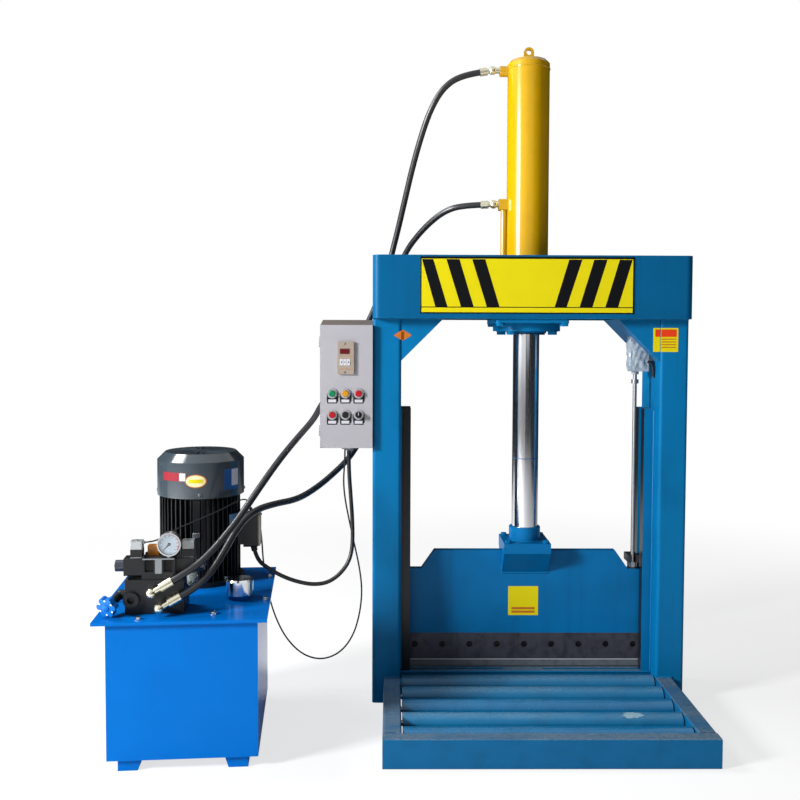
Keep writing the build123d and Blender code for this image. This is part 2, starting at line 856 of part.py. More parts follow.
# Button bodies: a ring in front of the door, a neck through it and a contact block behind
button_bore = button_diameter / 2 + seat_gap
door_back = door_front + box_wall
with BuildPart() as button_bodies:
    with BuildSketch(Plane.XZ.offset(-door_front)):
        with Locations(*button_places):
            Circle(bezel_diameter / 2)
            Circle(button_bore, mode=Mode.SUBTRACT)
    extrude(amount=bezel_depth)
    with BuildSketch(Plane.XZ.offset(-door_front)):
        with Locations(*button_places):
            Circle(button_hole / 2)
            Circle(button_bore, mode=Mode.SUBTRACT)
    extrude(amount=-box_wall)
    with BuildSketch(Plane.XZ.offset(-door_back)):
        with Locations(*button_places):
            Rectangle(contact_block, contact_block)
            Circle(button_bore, mode=Mode.SUBTRACT)
    extrude(amount=-contact_depth)
    with BuildSketch(Plane.XZ.offset(-door_back - contact_depth)):
        with Locations(*button_places):
            Rectangle(contact_block, contact_block)
    extrude(amount=-box_wall)
finish(button_bodies, "button_bodies")

button_names = ("green_button", "yellow_button", "red_button", "lower_red_button", "black_button")
for place, name in zip(button_places, button_names):
    with BuildPart() as button:
        with BuildSketch(Plane.XZ.offset(-door_front + button_reach)):
            with Locations(place):
                Circle(button_diameter / 2)
        extrude(amount=-button_reach - button_tail)
        fillet(edges().filter_by(GeomType.CIRCLE).sort_by(Axis.Y)[0], button_edge_radius)
    finish(button, name)

selector_place = button_places[len(button_names)]
with BuildPart() as selector:
    with BuildSketch(Plane.XZ.offset(-door_front + bezel_depth + selector_proud)):
        with Locations(selector_place):
            Circle(button_diameter / 2)
    extrude(amount=-bezel_depth - selector_proud - button_tail)
    with BuildSketch(Plane.XZ.offset(-door_front + bezel_depth + selector_proud)):
        with Locations(selector_place):
            Rectangle(selector_bar_width, button_diameter - selector_proud)
    extrude(amount=button_reach)
finish(selector, "selector_switch")

with BuildPart() as door_lock:
    with BuildSketch(Plane.XZ.offset(-door_front + lock_proud)):
        with Locations(lock_centre):
            Circle(lock_diameter / 2)
    extrude(amount=-lock_proud - box_wall - lock_tongue_gap)
    with BuildSketch(Plane.XZ.offset(-door_front + lock_proud)):
        with Locations(lock_centre):
            Rectangle(lock_slot[0], lock_slot[1])
    extrude(amount=-lock_slot[2], mode=Mode.SUBTRACT)
    with BuildSketch(Plane.XZ.offset(-door_back - lock_tongue_gap)):
        with Locations((lock_centre[0], lock_centre[1] - lock_tongue[1] / 4)):
            Rectangle(lock_tongue[0], lock_tongue[1])
    extrude(amount=-lock_tongue[2])
finish(door_lock, "door_lock")

# Gear inside the control box: contactors and a terminal row on a mounting plate
plate_y = box_back - box_wall - gear_plate[1] / 2
gear_face = plate_y - gear_plate[1] / 2
with BuildPart() as gear:
    with Locations((box_middle, plate_y, door_centre[1])):
        Box(*gear_plate)
    for x, z in contactor_places:
        with Locations((box_middle + x, gear_face - contactor[1] / 2, box_bottom + z)):
            Box(*contactor)
    with Locations((box_middle, gear_face - terminal_row[1] / 2, box_bottom + terminal_row_height)):
        Box(*terminal_row)
finish(gear, "control_gear")

# Power unit: its own axes, u to its right, v to its back, from the tank's centre on the floor
unit = Plane(
    origin=(unit_centre[0], unit_centre[1], 0),
    x_dir=(cos(radians(unit_turn)), sin(radians(unit_turn)), 0), z_dir=(0, 0, 1),
)


def unit_floor(height):
    return unit.offset(height)


def unit_front(v):
    return Plane(origin=unit.from_local_coords((0, v, 0)), x_dir=unit.x_dir, z_dir=-unit.y_dir)


def unit_side(u):
    return Plane(origin=unit.from_local_coords((u, 0, 0)), x_dir=unit.y_dir, z_dir=unit.x_dir)


lid_top = tank_top + lid_thickness
motor_bottom = lid_top + motor_flange_thickness
motor_top = motor_bottom + motor_body_height
cowl_bottom = motor_top - cowl_overlap
cowl_top = cowl_bottom + cowl_height
pump_bottom = pump_top - pump_body[2]
strainer_bottom = foot_height + tank_wall + strainer_clearance
shaft_radius = shaft_diameter / 2

# Tank: folded sheet, open at the top, on two folded feet
with BuildPart() as tank:
    with BuildSketch(unit_floor(foot_height)):
        Rectangle(tank_width, tank_depth)
    extrude(amount=tank_top - foot_height)
    offset(amount=-tank_wall, openings=faces().sort_by(Axis.Z)[-1])
    foot_end = tank_depth / 2 - foot_setback
    with BuildSketch(unit_front(foot_end)):
        for side in (-1, 1):
            outer = side * (tank_width / 2 - foot_inset)
            with BuildLine():
                Polyline(
                    (outer, 0), (outer, foot_height), (outer - side * foot_width, foot_height),
                    (outer - side * (foot_width - foot_slant), 0), close=True,
                )
            make_face()
    extrude(amount=2 * foot_end)
finish(tank, "oil_tank")

lid_u = (lid_right - lid_left) / 2
lid_v = (lid_back - lid_front) / 2
with BuildPart() as lid:
    with BuildSketch(unit_floor(tank_top)):
        with Locations((lid_u, lid_v)):
            Rectangle(tank_width + lid_left + lid_right, tank_depth + lid_front + lid_back)
    extrude(amount=lid_thickness)
    with BuildSketch(unit_floor(lid_top)):
        with Locations((filler_u, filler_v)):
            Circle(filler_neck_diameter / 2)
    extrude(amount=filler_neck_height)
    with BuildSketch(unit_floor(tank_top)):
        with Locations((filler_u, filler_v)):
            Circle(filler_neck_diameter / 2 - filler_neck_wall)
        with Locations((motor_u, motor_v)):
            Circle(lid_pump_hole / 2)
    extrude(amount=lid_thickness + filler_neck_height, mode=Mode.SUBTRACT)
finish(lid, "tank_lid")

with BuildPart() as filler_cap:
    cap_bottom = lid_top + filler_neck_height + seat_gap
    with BuildSketch(unit_floor(cap_bottom)):
        with Locations((filler_u, filler_v)):
            Circle(filler_cap_diameter / 2)
    extrude(amount=filler_cap_height)
    chamfer(edges().filter_by(GeomType.CIRCLE).sort_by(Axis.Z)[-1], filler_cap_chamfer)
    with BuildSketch(unit_floor(cap_bottom)):
        with Locations((filler_u, filler_v)):
            Circle(filler_neck_diameter / 2 - filler_neck_wall - filler_spigot_gap)
    extrude(amount=-filler_neck_height)
finish(filler_cap, "filler_cap")

# Motor: flange, ribbed body round the rotor's space, and a terminal box on a neck at its right
rib_step = 360 / motor_rib_count
half_rib = motor_rib_diameter / 2
rib_angles = [i * rib_step for i in range(motor_rib_count)]
plain_angles = {0, rib_step, 2 * rib_step, 360 - rib_step, 360 - 2 * rib_step, 270}
rib_height = motor_body_height - cowl_overlap - motor_rib_gap
with BuildPart() as motor_body:
    with BuildSketch(unit_floor(lid_top)):
        with Locations((motor_u, motor_v)):
            Circle(motor_flange_diameter / 2)
    extrude(amount=motor_flange_thickness)
    with BuildSketch(unit_floor(motor_bottom)):
        with Locations((motor_u, motor_v)):
            Circle(motor_core_diameter / 2)
    extrude(amount=motor_body_height)
    with BuildSketch(unit_floor(motor_bottom)):
        rib_length = half_rib - motor_core_diameter / 2 + motor_rib_root
        for angle in rib_angles:
            if angle not in plain_angles:
                turn = radians(angle)
                middle = half_rib - rib_length / 2
                with Locations(Location((motor_u + middle * cos(turn), motor_v + middle * sin(turn)), angle)):
                    Rectangle(rib_length, motor_rib_thickness)
        with Locations((motor_u, motor_v - half_rib + rib_length / 2)):
            Rectangle(motor_strip_width, rib_length)
    extrude(amount=rib_height)
    with BuildSketch(unit_floor(cowl_bottom)):
        with Locations((motor_u, motor_v)):
            Circle(cowl_diameter / 2 - cowl_wall)
    extrude(amount=cowl_overlap)
    neck_middle = terminal_bottom + terminal_height / 2
    with BuildSketch(unit_side(motor_u + motor_core_diameter / 2 - motor_neck_root)):
        with Locations((terminal_v, neck_middle)):
            Rectangle(motor_neck_width, motor_neck_height)
    extrude(amount=terminal_reach - motor_core_diameter / 2 + motor_neck_root)
    with BuildSketch(unit_floor(lid_top)):
        with Locations((motor_u, motor_v)):
            Circle(shaft_radius + running_clearance)
    extrude(amount=motor_top - lid_top, mode=Mode.SUBTRACT)
    with BuildSketch(unit_floor(motor_bottom + end_shield)):
        with Locations((motor_u, motor_v)):
            Circle(stator_bore / 2)
    extrude(amount=motor_body_height - 2 * end_shield, mode=Mode.SUBTRACT)

terminal_left = motor_u + terminal_reach
terminal_front = terminal_v - terminal_depth / 2
with BuildPart() as terminal_box:
    with BuildSketch(unit_side(terminal_left)):
        with Locations((terminal_v, terminal_bottom + terminal_height / 2)):
            RectangleRounded(terminal_depth, terminal_height, terminal_corner)
    extrude(amount=terminal_width - terminal_cover)
    with BuildSketch(unit_side(terminal_left + terminal_width - terminal_cover)):
        with Locations((terminal_v, terminal_bottom + terminal_height / 2)):
            cover_size = (terminal_depth - 2 * terminal_cover_inset, terminal_height - 2 * terminal_cover_inset)
            RectangleRounded(*cover_size, terminal_corner)
    extrude(amount=terminal_cover)
    for end, before, radius in (
        (motor_cable_route[-1], motor_cable_route[-2], motor_gland_radius),
        (signal_cable_route[-1], signal_cable_route[-2], signal_gland_radius),
        (valve_wire_route[0], valve_wire_route[1], wire_gland_radius),
    ):
        with BuildSketch(cord_end_plane(end, before)):
            Circle(radius)
        extrude(amount=terminal_gland_length)
finish_set((motor_body, terminal_box), "motor_body")

with BuildPart() as cowl:
    cowl_radius = cowl_diameter / 2
    with BuildSketch(unit_floor(cowl_bottom)):
        with Locations((motor_u, motor_v)):
            Circle(cowl_radius)
    extrude(amount=cowl_height)
    chamfer(edges().filter_by(GeomType.CIRCLE).sort_by(Axis.Z)[-1], cowl_chamfer)
    offset(amount=-cowl_wall, openings=faces().sort_by(Axis.Z)[0])
    with BuildSketch(unit_floor(cowl_top)):
        slot_length = cowl_slot_outer - cowl_slot_inner
        with Locations((motor_u, motor_v)):
            with PolarLocations((cowl_slot_outer + cowl_slot_inner) / 2, cowl_slots):
                Rectangle(slot_length, cowl_slot_width)
    extrude(amount=-cowl_wall, mode=Mode.SUBTRACT)
finish(cowl, "motor_cowl")

fan_bottom = motor_top + fan_clearance
shaft_end = pump_top + shaft_seat
with BuildPart() as rotor:
    for bottom, top, diameter in (
        (pump_top - pump_shaft_seat + rotor_gap, shaft_end, pump_shaft_diameter),
        (shaft_end - coupling_seat, shaft_end - coupling_seat + coupling_height, coupling_diameter),
        (shaft_end, fan_bottom + fan_height, shaft_diameter),
        (motor_bottom + end_shield + rotor_end_gap, motor_top - end_shield - rotor_end_gap,
            stator_bore - 2 * rotor_gap),
        (fan_bottom, fan_bottom + fan_height, fan_hub_diameter),
    ):
        with BuildSketch(unit_floor(bottom)):
            with Locations((motor_u, motor_v)):
                Circle(diameter / 2)
        extrude(amount=top - bottom)
    with BuildSketch(unit_floor(fan_bottom)):
        with Locations((motor_u, motor_v)):
            with PolarLocations((fan_diameter + fan_hub_diameter) / 4 - fan_blade_root / 2, fan_blades):
                Rectangle((fan_diameter - fan_hub_diameter) / 2 + fan_blade_root, fan_blade_thickness)
    extrude(amount=fan_height)
finish(rotor, "motor_rotor")

# Gear pump under the lid, hung from a bell, with its suction pipe and strainer
with BuildPart() as pump:
    with BuildSketch(unit_floor(pump_top)):
        with Locations((motor_u, motor_v)):
            Circle(bell_diameter / 2)
    extrude(amount=tank_top - pump_top)
    with BuildSketch(unit_floor(pump_top + bell_floor)):
        with Locations((motor_u, motor_v)):
            Circle(bell_diameter / 2 - bell_wall)
    extrude(amount=tank_top - pump_top - bell_floor, mode=Mode.SUBTRACT)
    with BuildSketch(unit_floor(pump_bottom)):
        with Locations((motor_u, motor_v)):
            Rectangle(pump_body[0], pump_body[1])
    extrude(amount=pump_body[2])
    with BuildSketch(unit_floor(pump_top - pump_shaft_seat)):
        with Locations((motor_u, motor_v)):
            Circle(pump_shaft_diameter / 2 + running_clearance)
    extrude(amount=pump_shaft_seat + bell_floor, mode=Mode.SUBTRACT)
    strainer_top = strainer_bottom + strainer_height
    with BuildSketch(unit_floor(strainer_top)):
        with Locations((motor_u, motor_v)):
            Circle(suction_diameter / 2)
    extrude(amount=pump_bottom - strainer_top)
    with BuildSketch(unit_floor(strainer_bottom)):
        with Locations((motor_u, motor_v)):
            Circle(strainer_diameter / 2)
    extrude(amount=strainer_height)
finish(pump, "gear_pump")

# Manifold block on the lid, with a big socket plug in its front
with BuildPart() as manifold:
    with BuildSketch(unit_front(manifold_front)):
        with Locations((manifold_left + manifold_width / 2, lid_top + manifold_height / 2)):
            Rectangle(manifold_width, manifold_height)
    extrude(amount=-manifold_depth)
    chamfer(edges(), manifold_chamfer)
    with BuildSketch(unit_front(manifold_front + manifold_plug_root)):
        with Locations(manifold_plug):
            Circle(manifold_plug_diameter / 2)
    extrude(amount=manifold_plug_reach + manifold_plug_root)
    with BuildSketch(unit_front(manifold_front - manifold_plug_reach)):
        with Locations(manifold_plug):
            RegularPolygon(manifold_plug_diameter / 4, 6)
    extrude(amount=-manifold_plug_reach, mode=Mode.SUBTRACT)
finish(manifold, "manifold_block")

valve_bottom = lid_top + manifold_height
valve_top = valve_bottom + valve_height
valve_front = manifold_front + valve_setback
valve_middle_v = valve_front + valve_depth / 2
valve_right = valve_left + valve_width
with BuildPart() as valve:
    with BuildSketch(unit_front(valve_front)):
        with Locations(((valve_left + valve_right) / 2, valve_bottom + valve_height / 2)):
            Rectangle(valve_width, valve_height)
    extrude(amount=-valve_depth)
    with BuildSketch(unit_front(valve_front)):
        pocket_height = valve_top - valve_pocket_drop - valve_pocket[1] / 2
        with Locations(((valve_left + valve_right) / 2, pocket_height)):
            with GridLocations(valve_pocket_spacing, 0, 2, 1):
                Rectangle(*valve_pocket)
    extrude(amount=-valve_pocket_depth, mode=Mode.SUBTRACT)
finish(valve, "directional_valve")

coil_bottom = valve_bottom + coil_lift
coil_middle_z = coil_bottom + coil_height / 2
with BuildPart() as coils:
    for start, way, plug_u in ((valve_left, -1, left_plug_u), (valve_right, 1, right_plug_u)):
        with BuildSketch(unit_side(start)):
            with Locations((valve_middle_v, coil_middle_z)):
                RectangleRounded(coil_depth, coil_height, coil_corner)
        extrude(amount=way * coil_width)
        with BuildSketch(unit_side(start + way * coil_width)):
            with Locations((valve_middle_v, coil_middle_z)):
                Circle(coil_cap_diameter / 2)
        extrude(amount=way * coil_cap_length)
        with BuildSketch(unit_side(start + way * (coil_width + coil_cap_length))):
            with Locations((valve_middle_v, coil_middle_z)):
                Circle(override_pin_diameter / 2)
        extrude(amount=way * override_pin_length)
        with BuildSketch(unit_floor(coil_bottom + coil_height)):
            with Locations((plug_u, valve_middle_v)):
                RectangleRounded(plug_width, plug_width, plug_corner)
        extrude(amount=plug_height)
    with BuildSketch(cord_end_plane(valve_wire_route[-1], valve_wire_route[-2])):
        Circle(wire_relief_radius)
    extrude(amount=wire_relief_length)
finish(coils, "solenoid_coils")

gauge_front = valve_front
with BuildPart() as gauge:
    with BuildSketch(unit_front(gauge_front)):
        with Locations((gauge_u, gauge_height)):
            Circle(gauge_diameter / 2)
    extrude(amount=-gauge_depth)
    with BuildSketch(unit_front(gauge_front)):
        with Locations((gauge_u, gauge_height)):
            Circle(gauge_diameter / 2 - gauge_rim)
            Circle(needle_pin_diameter / 2, mode=Mode.SUBTRACT)
    extrude(amount=-gauge_recess, mode=Mode.SUBTRACT)
    with BuildSketch(unit_front(gauge_front)):
        with Locations((gauge_u, gauge_height)):
            Circle(needle_pin_diameter)
    extrude(amount=-needle_pin_drop, mode=Mode.SUBTRACT)
    with BuildSketch(unit_floor(valve_top)):
        with Locations((gauge_u, gauge_front + gauge_depth / 2)):
            Circle(gauge_stem_diameter / 2)
    extrude(amount=gauge_height - gauge_diameter / 2 - valve_top + gauge_stem_root)
finish(gauge, "pressure_gauge")

needle_tip = (gauge_u - needle_length * sin(pi / 4), gauge_height - needle_length * sin(pi / 4))
with BuildPart() as needle:
    with BuildSketch(unit_front(gauge_front + gauge_recess - needle_lift)):
        with Locations((gauge_u, gauge_height)):
            Circle(needle_hub_diameter / 2)
        with BuildLine():
            Polyline(
                (gauge_u - needle_half_width, gauge_height + needle_half_width), needle_tip,
                (gauge_u + needle_half_width, gauge_height - needle_half_width), close=True,
            )
        make_face()
        with Locations((gauge_u, gauge_height)):
            Circle(needle_pin_diameter / 2 + running_clearance, mode=Mode.SUBTRACT)
    extrude(amount=needle_thickness)
finish(needle, "gauge_needle")

# Relief valve on the manifold's left side, with a star knob on its stem
relief_axis = unit.from_local_coords(Vector(*relief_direction)) - unit.origin
relief_axis = relief_axis.normalized()
relief_ball = unit.from_local_coords(Vector(*relief_elbow))
with BuildPart() as relief_valve:
    with BuildSketch(unit_side(manifold_left)):
        with Locations(relief_elbow[1:]):
            Circle(relief_diameter / 2)
    extrude(amount=relief_elbow[0] - manifold_left)
    with Locations(relief_ball):
        Sphere(relief_diameter / 2)
    with BuildSketch(Plane(origin=relief_ball, z_dir=relief_axis)):
        Circle(relief_diameter / 2 - relief_nose_step)
    extrude(amount=relief_reach)
    with BuildSketch(Plane(origin=relief_ball + relief_axis * relief_reach, z_dir=relief_axis)):
        Circle(relief_stem_diameter / 2)
    extrude(amount=star_knob_thickness - star_knob_floor - seat_gap)
finish(relief_valve, "relief_valve")

knob_base = relief_ball + relief_axis * (relief_reach + seat_gap)
with BuildPart() as star_knob:
    with BuildSketch(Plane(origin=knob_base, z_dir=relief_axis)):
        Circle(star_knob_diameter / 2 - star_lobe_reach)
        with PolarLocations(star_knob_diameter / 2 - star_lobe_radius, star_knob_lobes):
            Circle(star_lobe_radius)
    extrude(amount=star_knob_thickness)
    with BuildSketch(Plane(origin=knob_base, z_dir=relief_axis)):
        Circle(relief_stem_diameter / 2 + running_clearance)
    extrude(amount=star_knob_thickness - star_knob_floor, mode=Mode.SUBTRACT)
finish(star_knob, "relief_knob")

# Hose fittings: a crimped ferrule on each hose's end, a neck, a ball and a stub into the port
hose_ends = (
    (hose_a_route[0], hose_a_route[1], unit_crimp_length, unit_fitting_length, "unit"),
    (hose_b_route[0], hose_b_route[1], unit_crimp_length, unit_fitting_length, "unit"),
    (hose_a_route[-1], hose_a_route[-2], port_crimp_length, port_fitting_length, "upper"),
    (hose_b_route[-1], hose_b_route[-2], port_crimp_length, port_fitting_length, "lower"),
)
port_faces = {"upper": -barrel_radius - port_boss_reach, "lower": tube_x - port_block_size / 2}
ball_radius = fitting_ball_diameter / 2
neck_radius = fitting_neck_diameter / 2
fittings = []
for end, before, crimp_length, length, port in hose_ends:
    end_point = Vector(*end)
    axis = (end_point - Vector(*before)).normalized()
    ball = end_point + axis * length
    if port == "unit":
        stub_axis = unit.y_dir
        stub_length = manifold_front - unit.to_local_coords(ball).Y
    else:
        stub_axis = Vector(1, 0, 0)
        stub_length = port_faces[port] - ball.X
    across = Plane(origin=end_point, z_dir=axis)
    neck_end = length - sqrt(ball_radius ** 2 - neck_radius ** 2)
    with BuildPart() as fitting:
        with BuildSketch(Plane(origin=end_point, x_dir=across.x_dir, z_dir=-across.y_dir)):
            with BuildLine():
                Polyline(
                    (0, length + ball_radius), (0, 0), (ferrule_diameter / 2, 0),
                    (ferrule_diameter / 2, crimp_length), (neck_radius, crimp_length), (neck_radius, neck_end),
                )
                ThreePointArc((neck_radius, neck_end), (ball_radius, length), (0, length + ball_radius))
            make_face()
        revolve(axis=Axis(end_point, axis))
        with BuildSketch(Plane(origin=ball, z_dir=stub_axis)):
            Circle(fitting_stub_diameter / 2)
        extrude(amount=stub_length)
    fittings.append(fitting)
finish_set(fittings, "hose_fittings")


def corner_radii(route):
    points = [Vector(*point) for point in route]
    radii = []
    for before, corner, after in zip(points, points[1:], points[2:]):
        run = min((corner - before).length, (after - corner).length)
        turn = (corner - before).get_angle(after - corner)
        radii.append(0.45 * run / tan(radians(turn / 2)))
    return radii


cords = (
    ("hose_a", hose_a_route, hose_diameter), ("hose_b", hose_b_route, hose_diameter),
    ("motor_cable", motor_cable_route, motor_cable_diameter),
    ("signal_cable", signal_cable_route, signal_cable_diameter),
    ("valve_wire", valve_wire_route, valve_wire_diameter),
)
for name, route, diameter in cords:
    radii = corner_radii(route)
    with BuildPart() as cord:
        with BuildLine() as path:
            FilletPolyline(*route, radius=radii)
        with BuildSketch(Plane(origin=path.line @ 0, z_dir=path.line % 0)):
            Circle(diameter / 2)
        sweep()
    length = path.wires()[0].length
    share = cord.part.volume / (pi * diameter ** 2 / 4 * length)
    print(f"{name}: length {length:.0f}, radii {[round(radius) for radius in radii]}, volume share {share:.4f}")
    finish(cord, name)
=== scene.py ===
# %% [markdown]
# # H-frame press: looks
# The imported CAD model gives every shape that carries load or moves. This script adds what a photograph
# shows on top of it: paint and wear, the printed board, screws, welds, labels, and the hoses and cables.
# Lengths are written in millimetres in the row's frame and turned into metres when a mesh is made.

import math

import bmesh
import bpy
import numpy as np
from mathutils import Matrix, Vector


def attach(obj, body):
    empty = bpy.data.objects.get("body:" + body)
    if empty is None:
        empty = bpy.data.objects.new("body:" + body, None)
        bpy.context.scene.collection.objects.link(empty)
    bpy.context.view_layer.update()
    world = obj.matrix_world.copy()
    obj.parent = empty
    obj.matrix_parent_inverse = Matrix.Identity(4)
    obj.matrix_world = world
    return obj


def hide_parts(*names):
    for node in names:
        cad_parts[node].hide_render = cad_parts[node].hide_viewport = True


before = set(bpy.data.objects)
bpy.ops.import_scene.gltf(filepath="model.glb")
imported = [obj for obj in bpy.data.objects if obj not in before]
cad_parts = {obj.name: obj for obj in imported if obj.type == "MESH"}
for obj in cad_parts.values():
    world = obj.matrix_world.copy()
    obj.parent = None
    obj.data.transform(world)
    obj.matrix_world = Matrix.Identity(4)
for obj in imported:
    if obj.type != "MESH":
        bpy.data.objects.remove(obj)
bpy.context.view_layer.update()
print("nodes", len(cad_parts))

# %% [markdown]
# ## Camera
# The camera was solved from forty points of the photograph: 950 pixels of focal length on an 800 pixel
# picture, 2.9 m in front of the press and left of its middle, looking a little down.

# %% Camera
CAMERA_PLACE = (-0.4149, -2.9219, 1.1055)
FOCAL_PIXELS, PICTURE_PIXELS, SENSOR_WIDTH = 950, 800, 36
yaw, pitch, roll = np.radians((0.53, 2.66, 0.19))
forward = np.array((math.sin(yaw) * math.cos(pitch), math.cos(yaw) * math.cos(pitch), -math.sin(pitch)))
level = np.array((math.cos(yaw), -math.sin(yaw), 0.0))
upward = np.cross(level, forward)
right = math.cos(roll) * level + math.sin(roll) * upward
upward = np.cross(right, forward)
camera = bpy.data.objects.new("camera", bpy.data.cameras.new("camera"))
bpy.context.collection.objects.link(camera)
matrix = np.eye(4)
matrix[:3, :3] = np.stack((right, upward, -forward), 1)
matrix[:3, 3] = CAMERA_PLACE
camera.matrix_world = Matrix(matrix.tolist())
camera.data.sensor_width = SENSOR_WIDTH
camera.data.lens = SENSOR_WIDTH * FOCAL_PIXELS / PICTURE_PIXELS
camera.data.shift_y = -0.025
bpy.context.scene.camera = camera
print("camera", camera.location)

# %% [markdown]
# ## Materials
# One function turns a written colour into the linear values that shaders use, and one adds a node and
# joins its inputs. Pattern sizes are in millimetres: the mapping multiplies object coordinates.

# %% Material helpers
def linear(code):
    """Linear red, green, blue, alpha of a written colour such as 0a63a0."""
    srgb = np.array([int(code[i:i + 2], 16) for i in (0, 2, 4)]) / 255
    values = np.where(srgb <= 0.04045, srgb / 12.92, ((srgb + 0.055) / 1.055) ** 2.4)
    return (*values.tolist(), 1.0)


def add(tree, kind, settings=None, **inputs):
    """A new node with its settings, and its inputs given a value or joined to another node's output."""
    made = tree.nodes.new(kind)
    for key, value in (settings or {}).items():
        setattr(made, key, value)
    for key, value in inputs.items():
        numbered = key[0] == "i" and key[1:].isdigit()
        socket = made.inputs[int(key[1:]) if numbered else key.replace("_", " ")]
        if isinstance(value, bpy.types.NodeSocket):
            tree.links.new(value, socket)
        else:
            socket.default_value = value
    return made


def ramp(tree, value, low, high):
    """0 below low and 1 above high, smooth between."""
    return add(tree, "ShaderNodeMapRange", {"interpolation_type": "SMOOTHSTEP"},
               Value=value, From_Min=low, From_Max=high).outputs["Result"]


def maths(tree, operation, a, b=0.0):
    """Output of one arithmetic node."""
    return add(tree, "ShaderNodeMath", {"operation": operation}, i0=a, i1=b).outputs[0]


def blend(tree, factor, a, b):
    """Colour a where factor is 0 and colour b where it is 1."""
    return add(tree, "ShaderNodeMix", {"data_type": "RGBA"}, i0=factor, i6=a, i7=b).outputs[2]


def noise(tree, size, detail=3.0, stretch=(1, 1, 1), shift=0.0):
    """Noise with lumps of that many millimetres, drawn out along an axis where stretch is under 1."""
    spot = tree.nodes.get("coordinates") or add(tree, "ShaderNodeTexCoord", {"name": "coordinates"})
    scale = [1000 / size * s for s in stretch]
    place = add(tree, "ShaderNodeMapping", None, Vector=spot.outputs["Object"], Scale=scale,
                Location=(shift,) * 3)
    return add(tree, "ShaderNodeTexNoise", None, Vector=place.outputs[0], Scale=1.0,
               Detail=detail).outputs["Fac"]


def upward_face(tree):
    """1 on faces that look up, 0 on walls, in the piece's own axes."""
    spot = tree.nodes.get("coordinates") or add(tree, "ShaderNodeTexCoord", {"name": "coordinates"})
    return add(tree, "ShaderNodeSeparateXYZ", None, Vector=spot.outputs["Normal"]).outputs[2]


def surface(name, code, rough=0.4, metallic=0.0, mottle=0.0, mottle_size=60, grain=0.0, grain_size=2.0,
            dust=0.0, dust_code="b9b4a6", dust_size=40, streak=0.0, streak_code="2a3036",
            bump=0.0, bump_size=3.0, edge_wear_and_highlight=0.0, edge_wear_and_highlight_colour="8a8f93", transmission=0.0, gloss=0.5):
    """A material from a base colour: mottle darkens it in patches, grain varies its gloss, dust lies on
    faces that look up, streak runs down walls, edge wear and highlight lays its colour along edges in
    patches: bare metal on most finishes, and on the frame's blue enamels a lighter blue that is worn paint
    and a painted highlight; bump is its orange peel."""
    made = bpy.data.materials.new(name)
    made.use_nodes = True
    tree = made.node_tree
    shader = tree.nodes["Principled BSDF"]
    colour = linear(code)
    shader.inputs["Base Color"].default_value = colour
    shader.inputs["Roughness"].default_value = rough
    shader.inputs["Metallic"].default_value = metallic
    shader.inputs["Specular IOR Level"].default_value = gloss
    if transmission:
        shader.inputs["Transmission Weight"].default_value = transmission
    dark = tuple(c * 0.55 for c in colour[:3]) + (1.0,)
    flow = colour
    if mottle:
        patch = maths(tree, "MULTIPLY", ramp(tree, noise(tree, mottle_size), 0.4, 0.75), mottle)
        flow = blend(tree, patch, flow, dark)
    if streak:
        runs = ramp(tree, noise(tree, 26, 4, (1, 1, 0.06), 3.1), 0.52, 0.8)
        flow = blend(tree, maths(tree, "MULTIPLY", runs, streak), flow, linear(streak_code))
    if edge_wear_and_highlight:
        edge = add(tree, "ShaderNodeBevel", {"samples": 4}, Radius=0.003).outputs[0]
        plain = add(tree, "ShaderNodeNewGeometry").outputs["Normal"]
        near = add(tree, "ShaderNodeVectorMath", {"operation": "DOT_PRODUCT"}, i0=edge,
                   i1=plain).outputs["Value"]
        worn_and_lit_edge = maths(tree, "MULTIPLY", ramp(tree, maths(tree, "SUBTRACT", 1.0, near), 0.03, 0.12),
                     ramp(tree, noise(tree, 14, 5), 0.45, 0.6))
        flow = blend(tree, maths(tree, "MULTIPLY", worn_and_lit_edge, edge_wear_and_highlight), flow, linear(edge_wear_and_highlight_colour))
    if dust:
        lie = ramp(tree, upward_face(tree), 0.55, 0.95)
        specks = maths(tree, "ADD", maths(tree, "MULTIPLY",
                                          ramp(tree, noise(tree, 4, 4, (0.5, 1, 1)), 0.36, 0.64), 0.6), 0.4)
        cover = maths(tree, "MULTIPLY", ramp(tree, noise(tree, dust_size, 6, (0.4, 1, 1), 7.7), 0.15, 0.6),
                      specks)
        flow = blend(tree, maths(tree, "MULTIPLY", maths(tree, "MULTIPLY", lie, cover), dust), flow,
                     linear(dust_code))
    if mottle or streak or edge_wear_and_highlight or dust:
        tree.links.new(flow, shader.inputs["Base Color"])
    if grain:
        change = maths(tree, "MULTIPLY", noise(tree, grain_size, 4), grain)
        tree.links.new(maths(tree, "ADD", change, rough - grain / 2), shader.inputs["Roughness"])
    if bump:
        height = add(tree, "ShaderNodeBump", None, Height=noise(tree, bump_size, 2), Distance=0.0004,
                     Strength=bump)
        tree.links.new(height.outputs[0], shader.inputs["Normal"])
    return made


# %% Finishes
# The frame's blue enamels lay a lighter blue along their edges in patches: worn paint, and a painted
# highlight on the edges.
press_blue = surface("press_blue_enamel", "02689c", 0.36, mottle=0.3, mottle_size=170, streak=0.22,
                     streak_code="0a3c62", bump=0.15, bump_size=5, dust=0.3, edge_wear_and_highlight=0.5, edge_wear_and_highlight_colour="1f9fd0",
                     gloss=0.1)
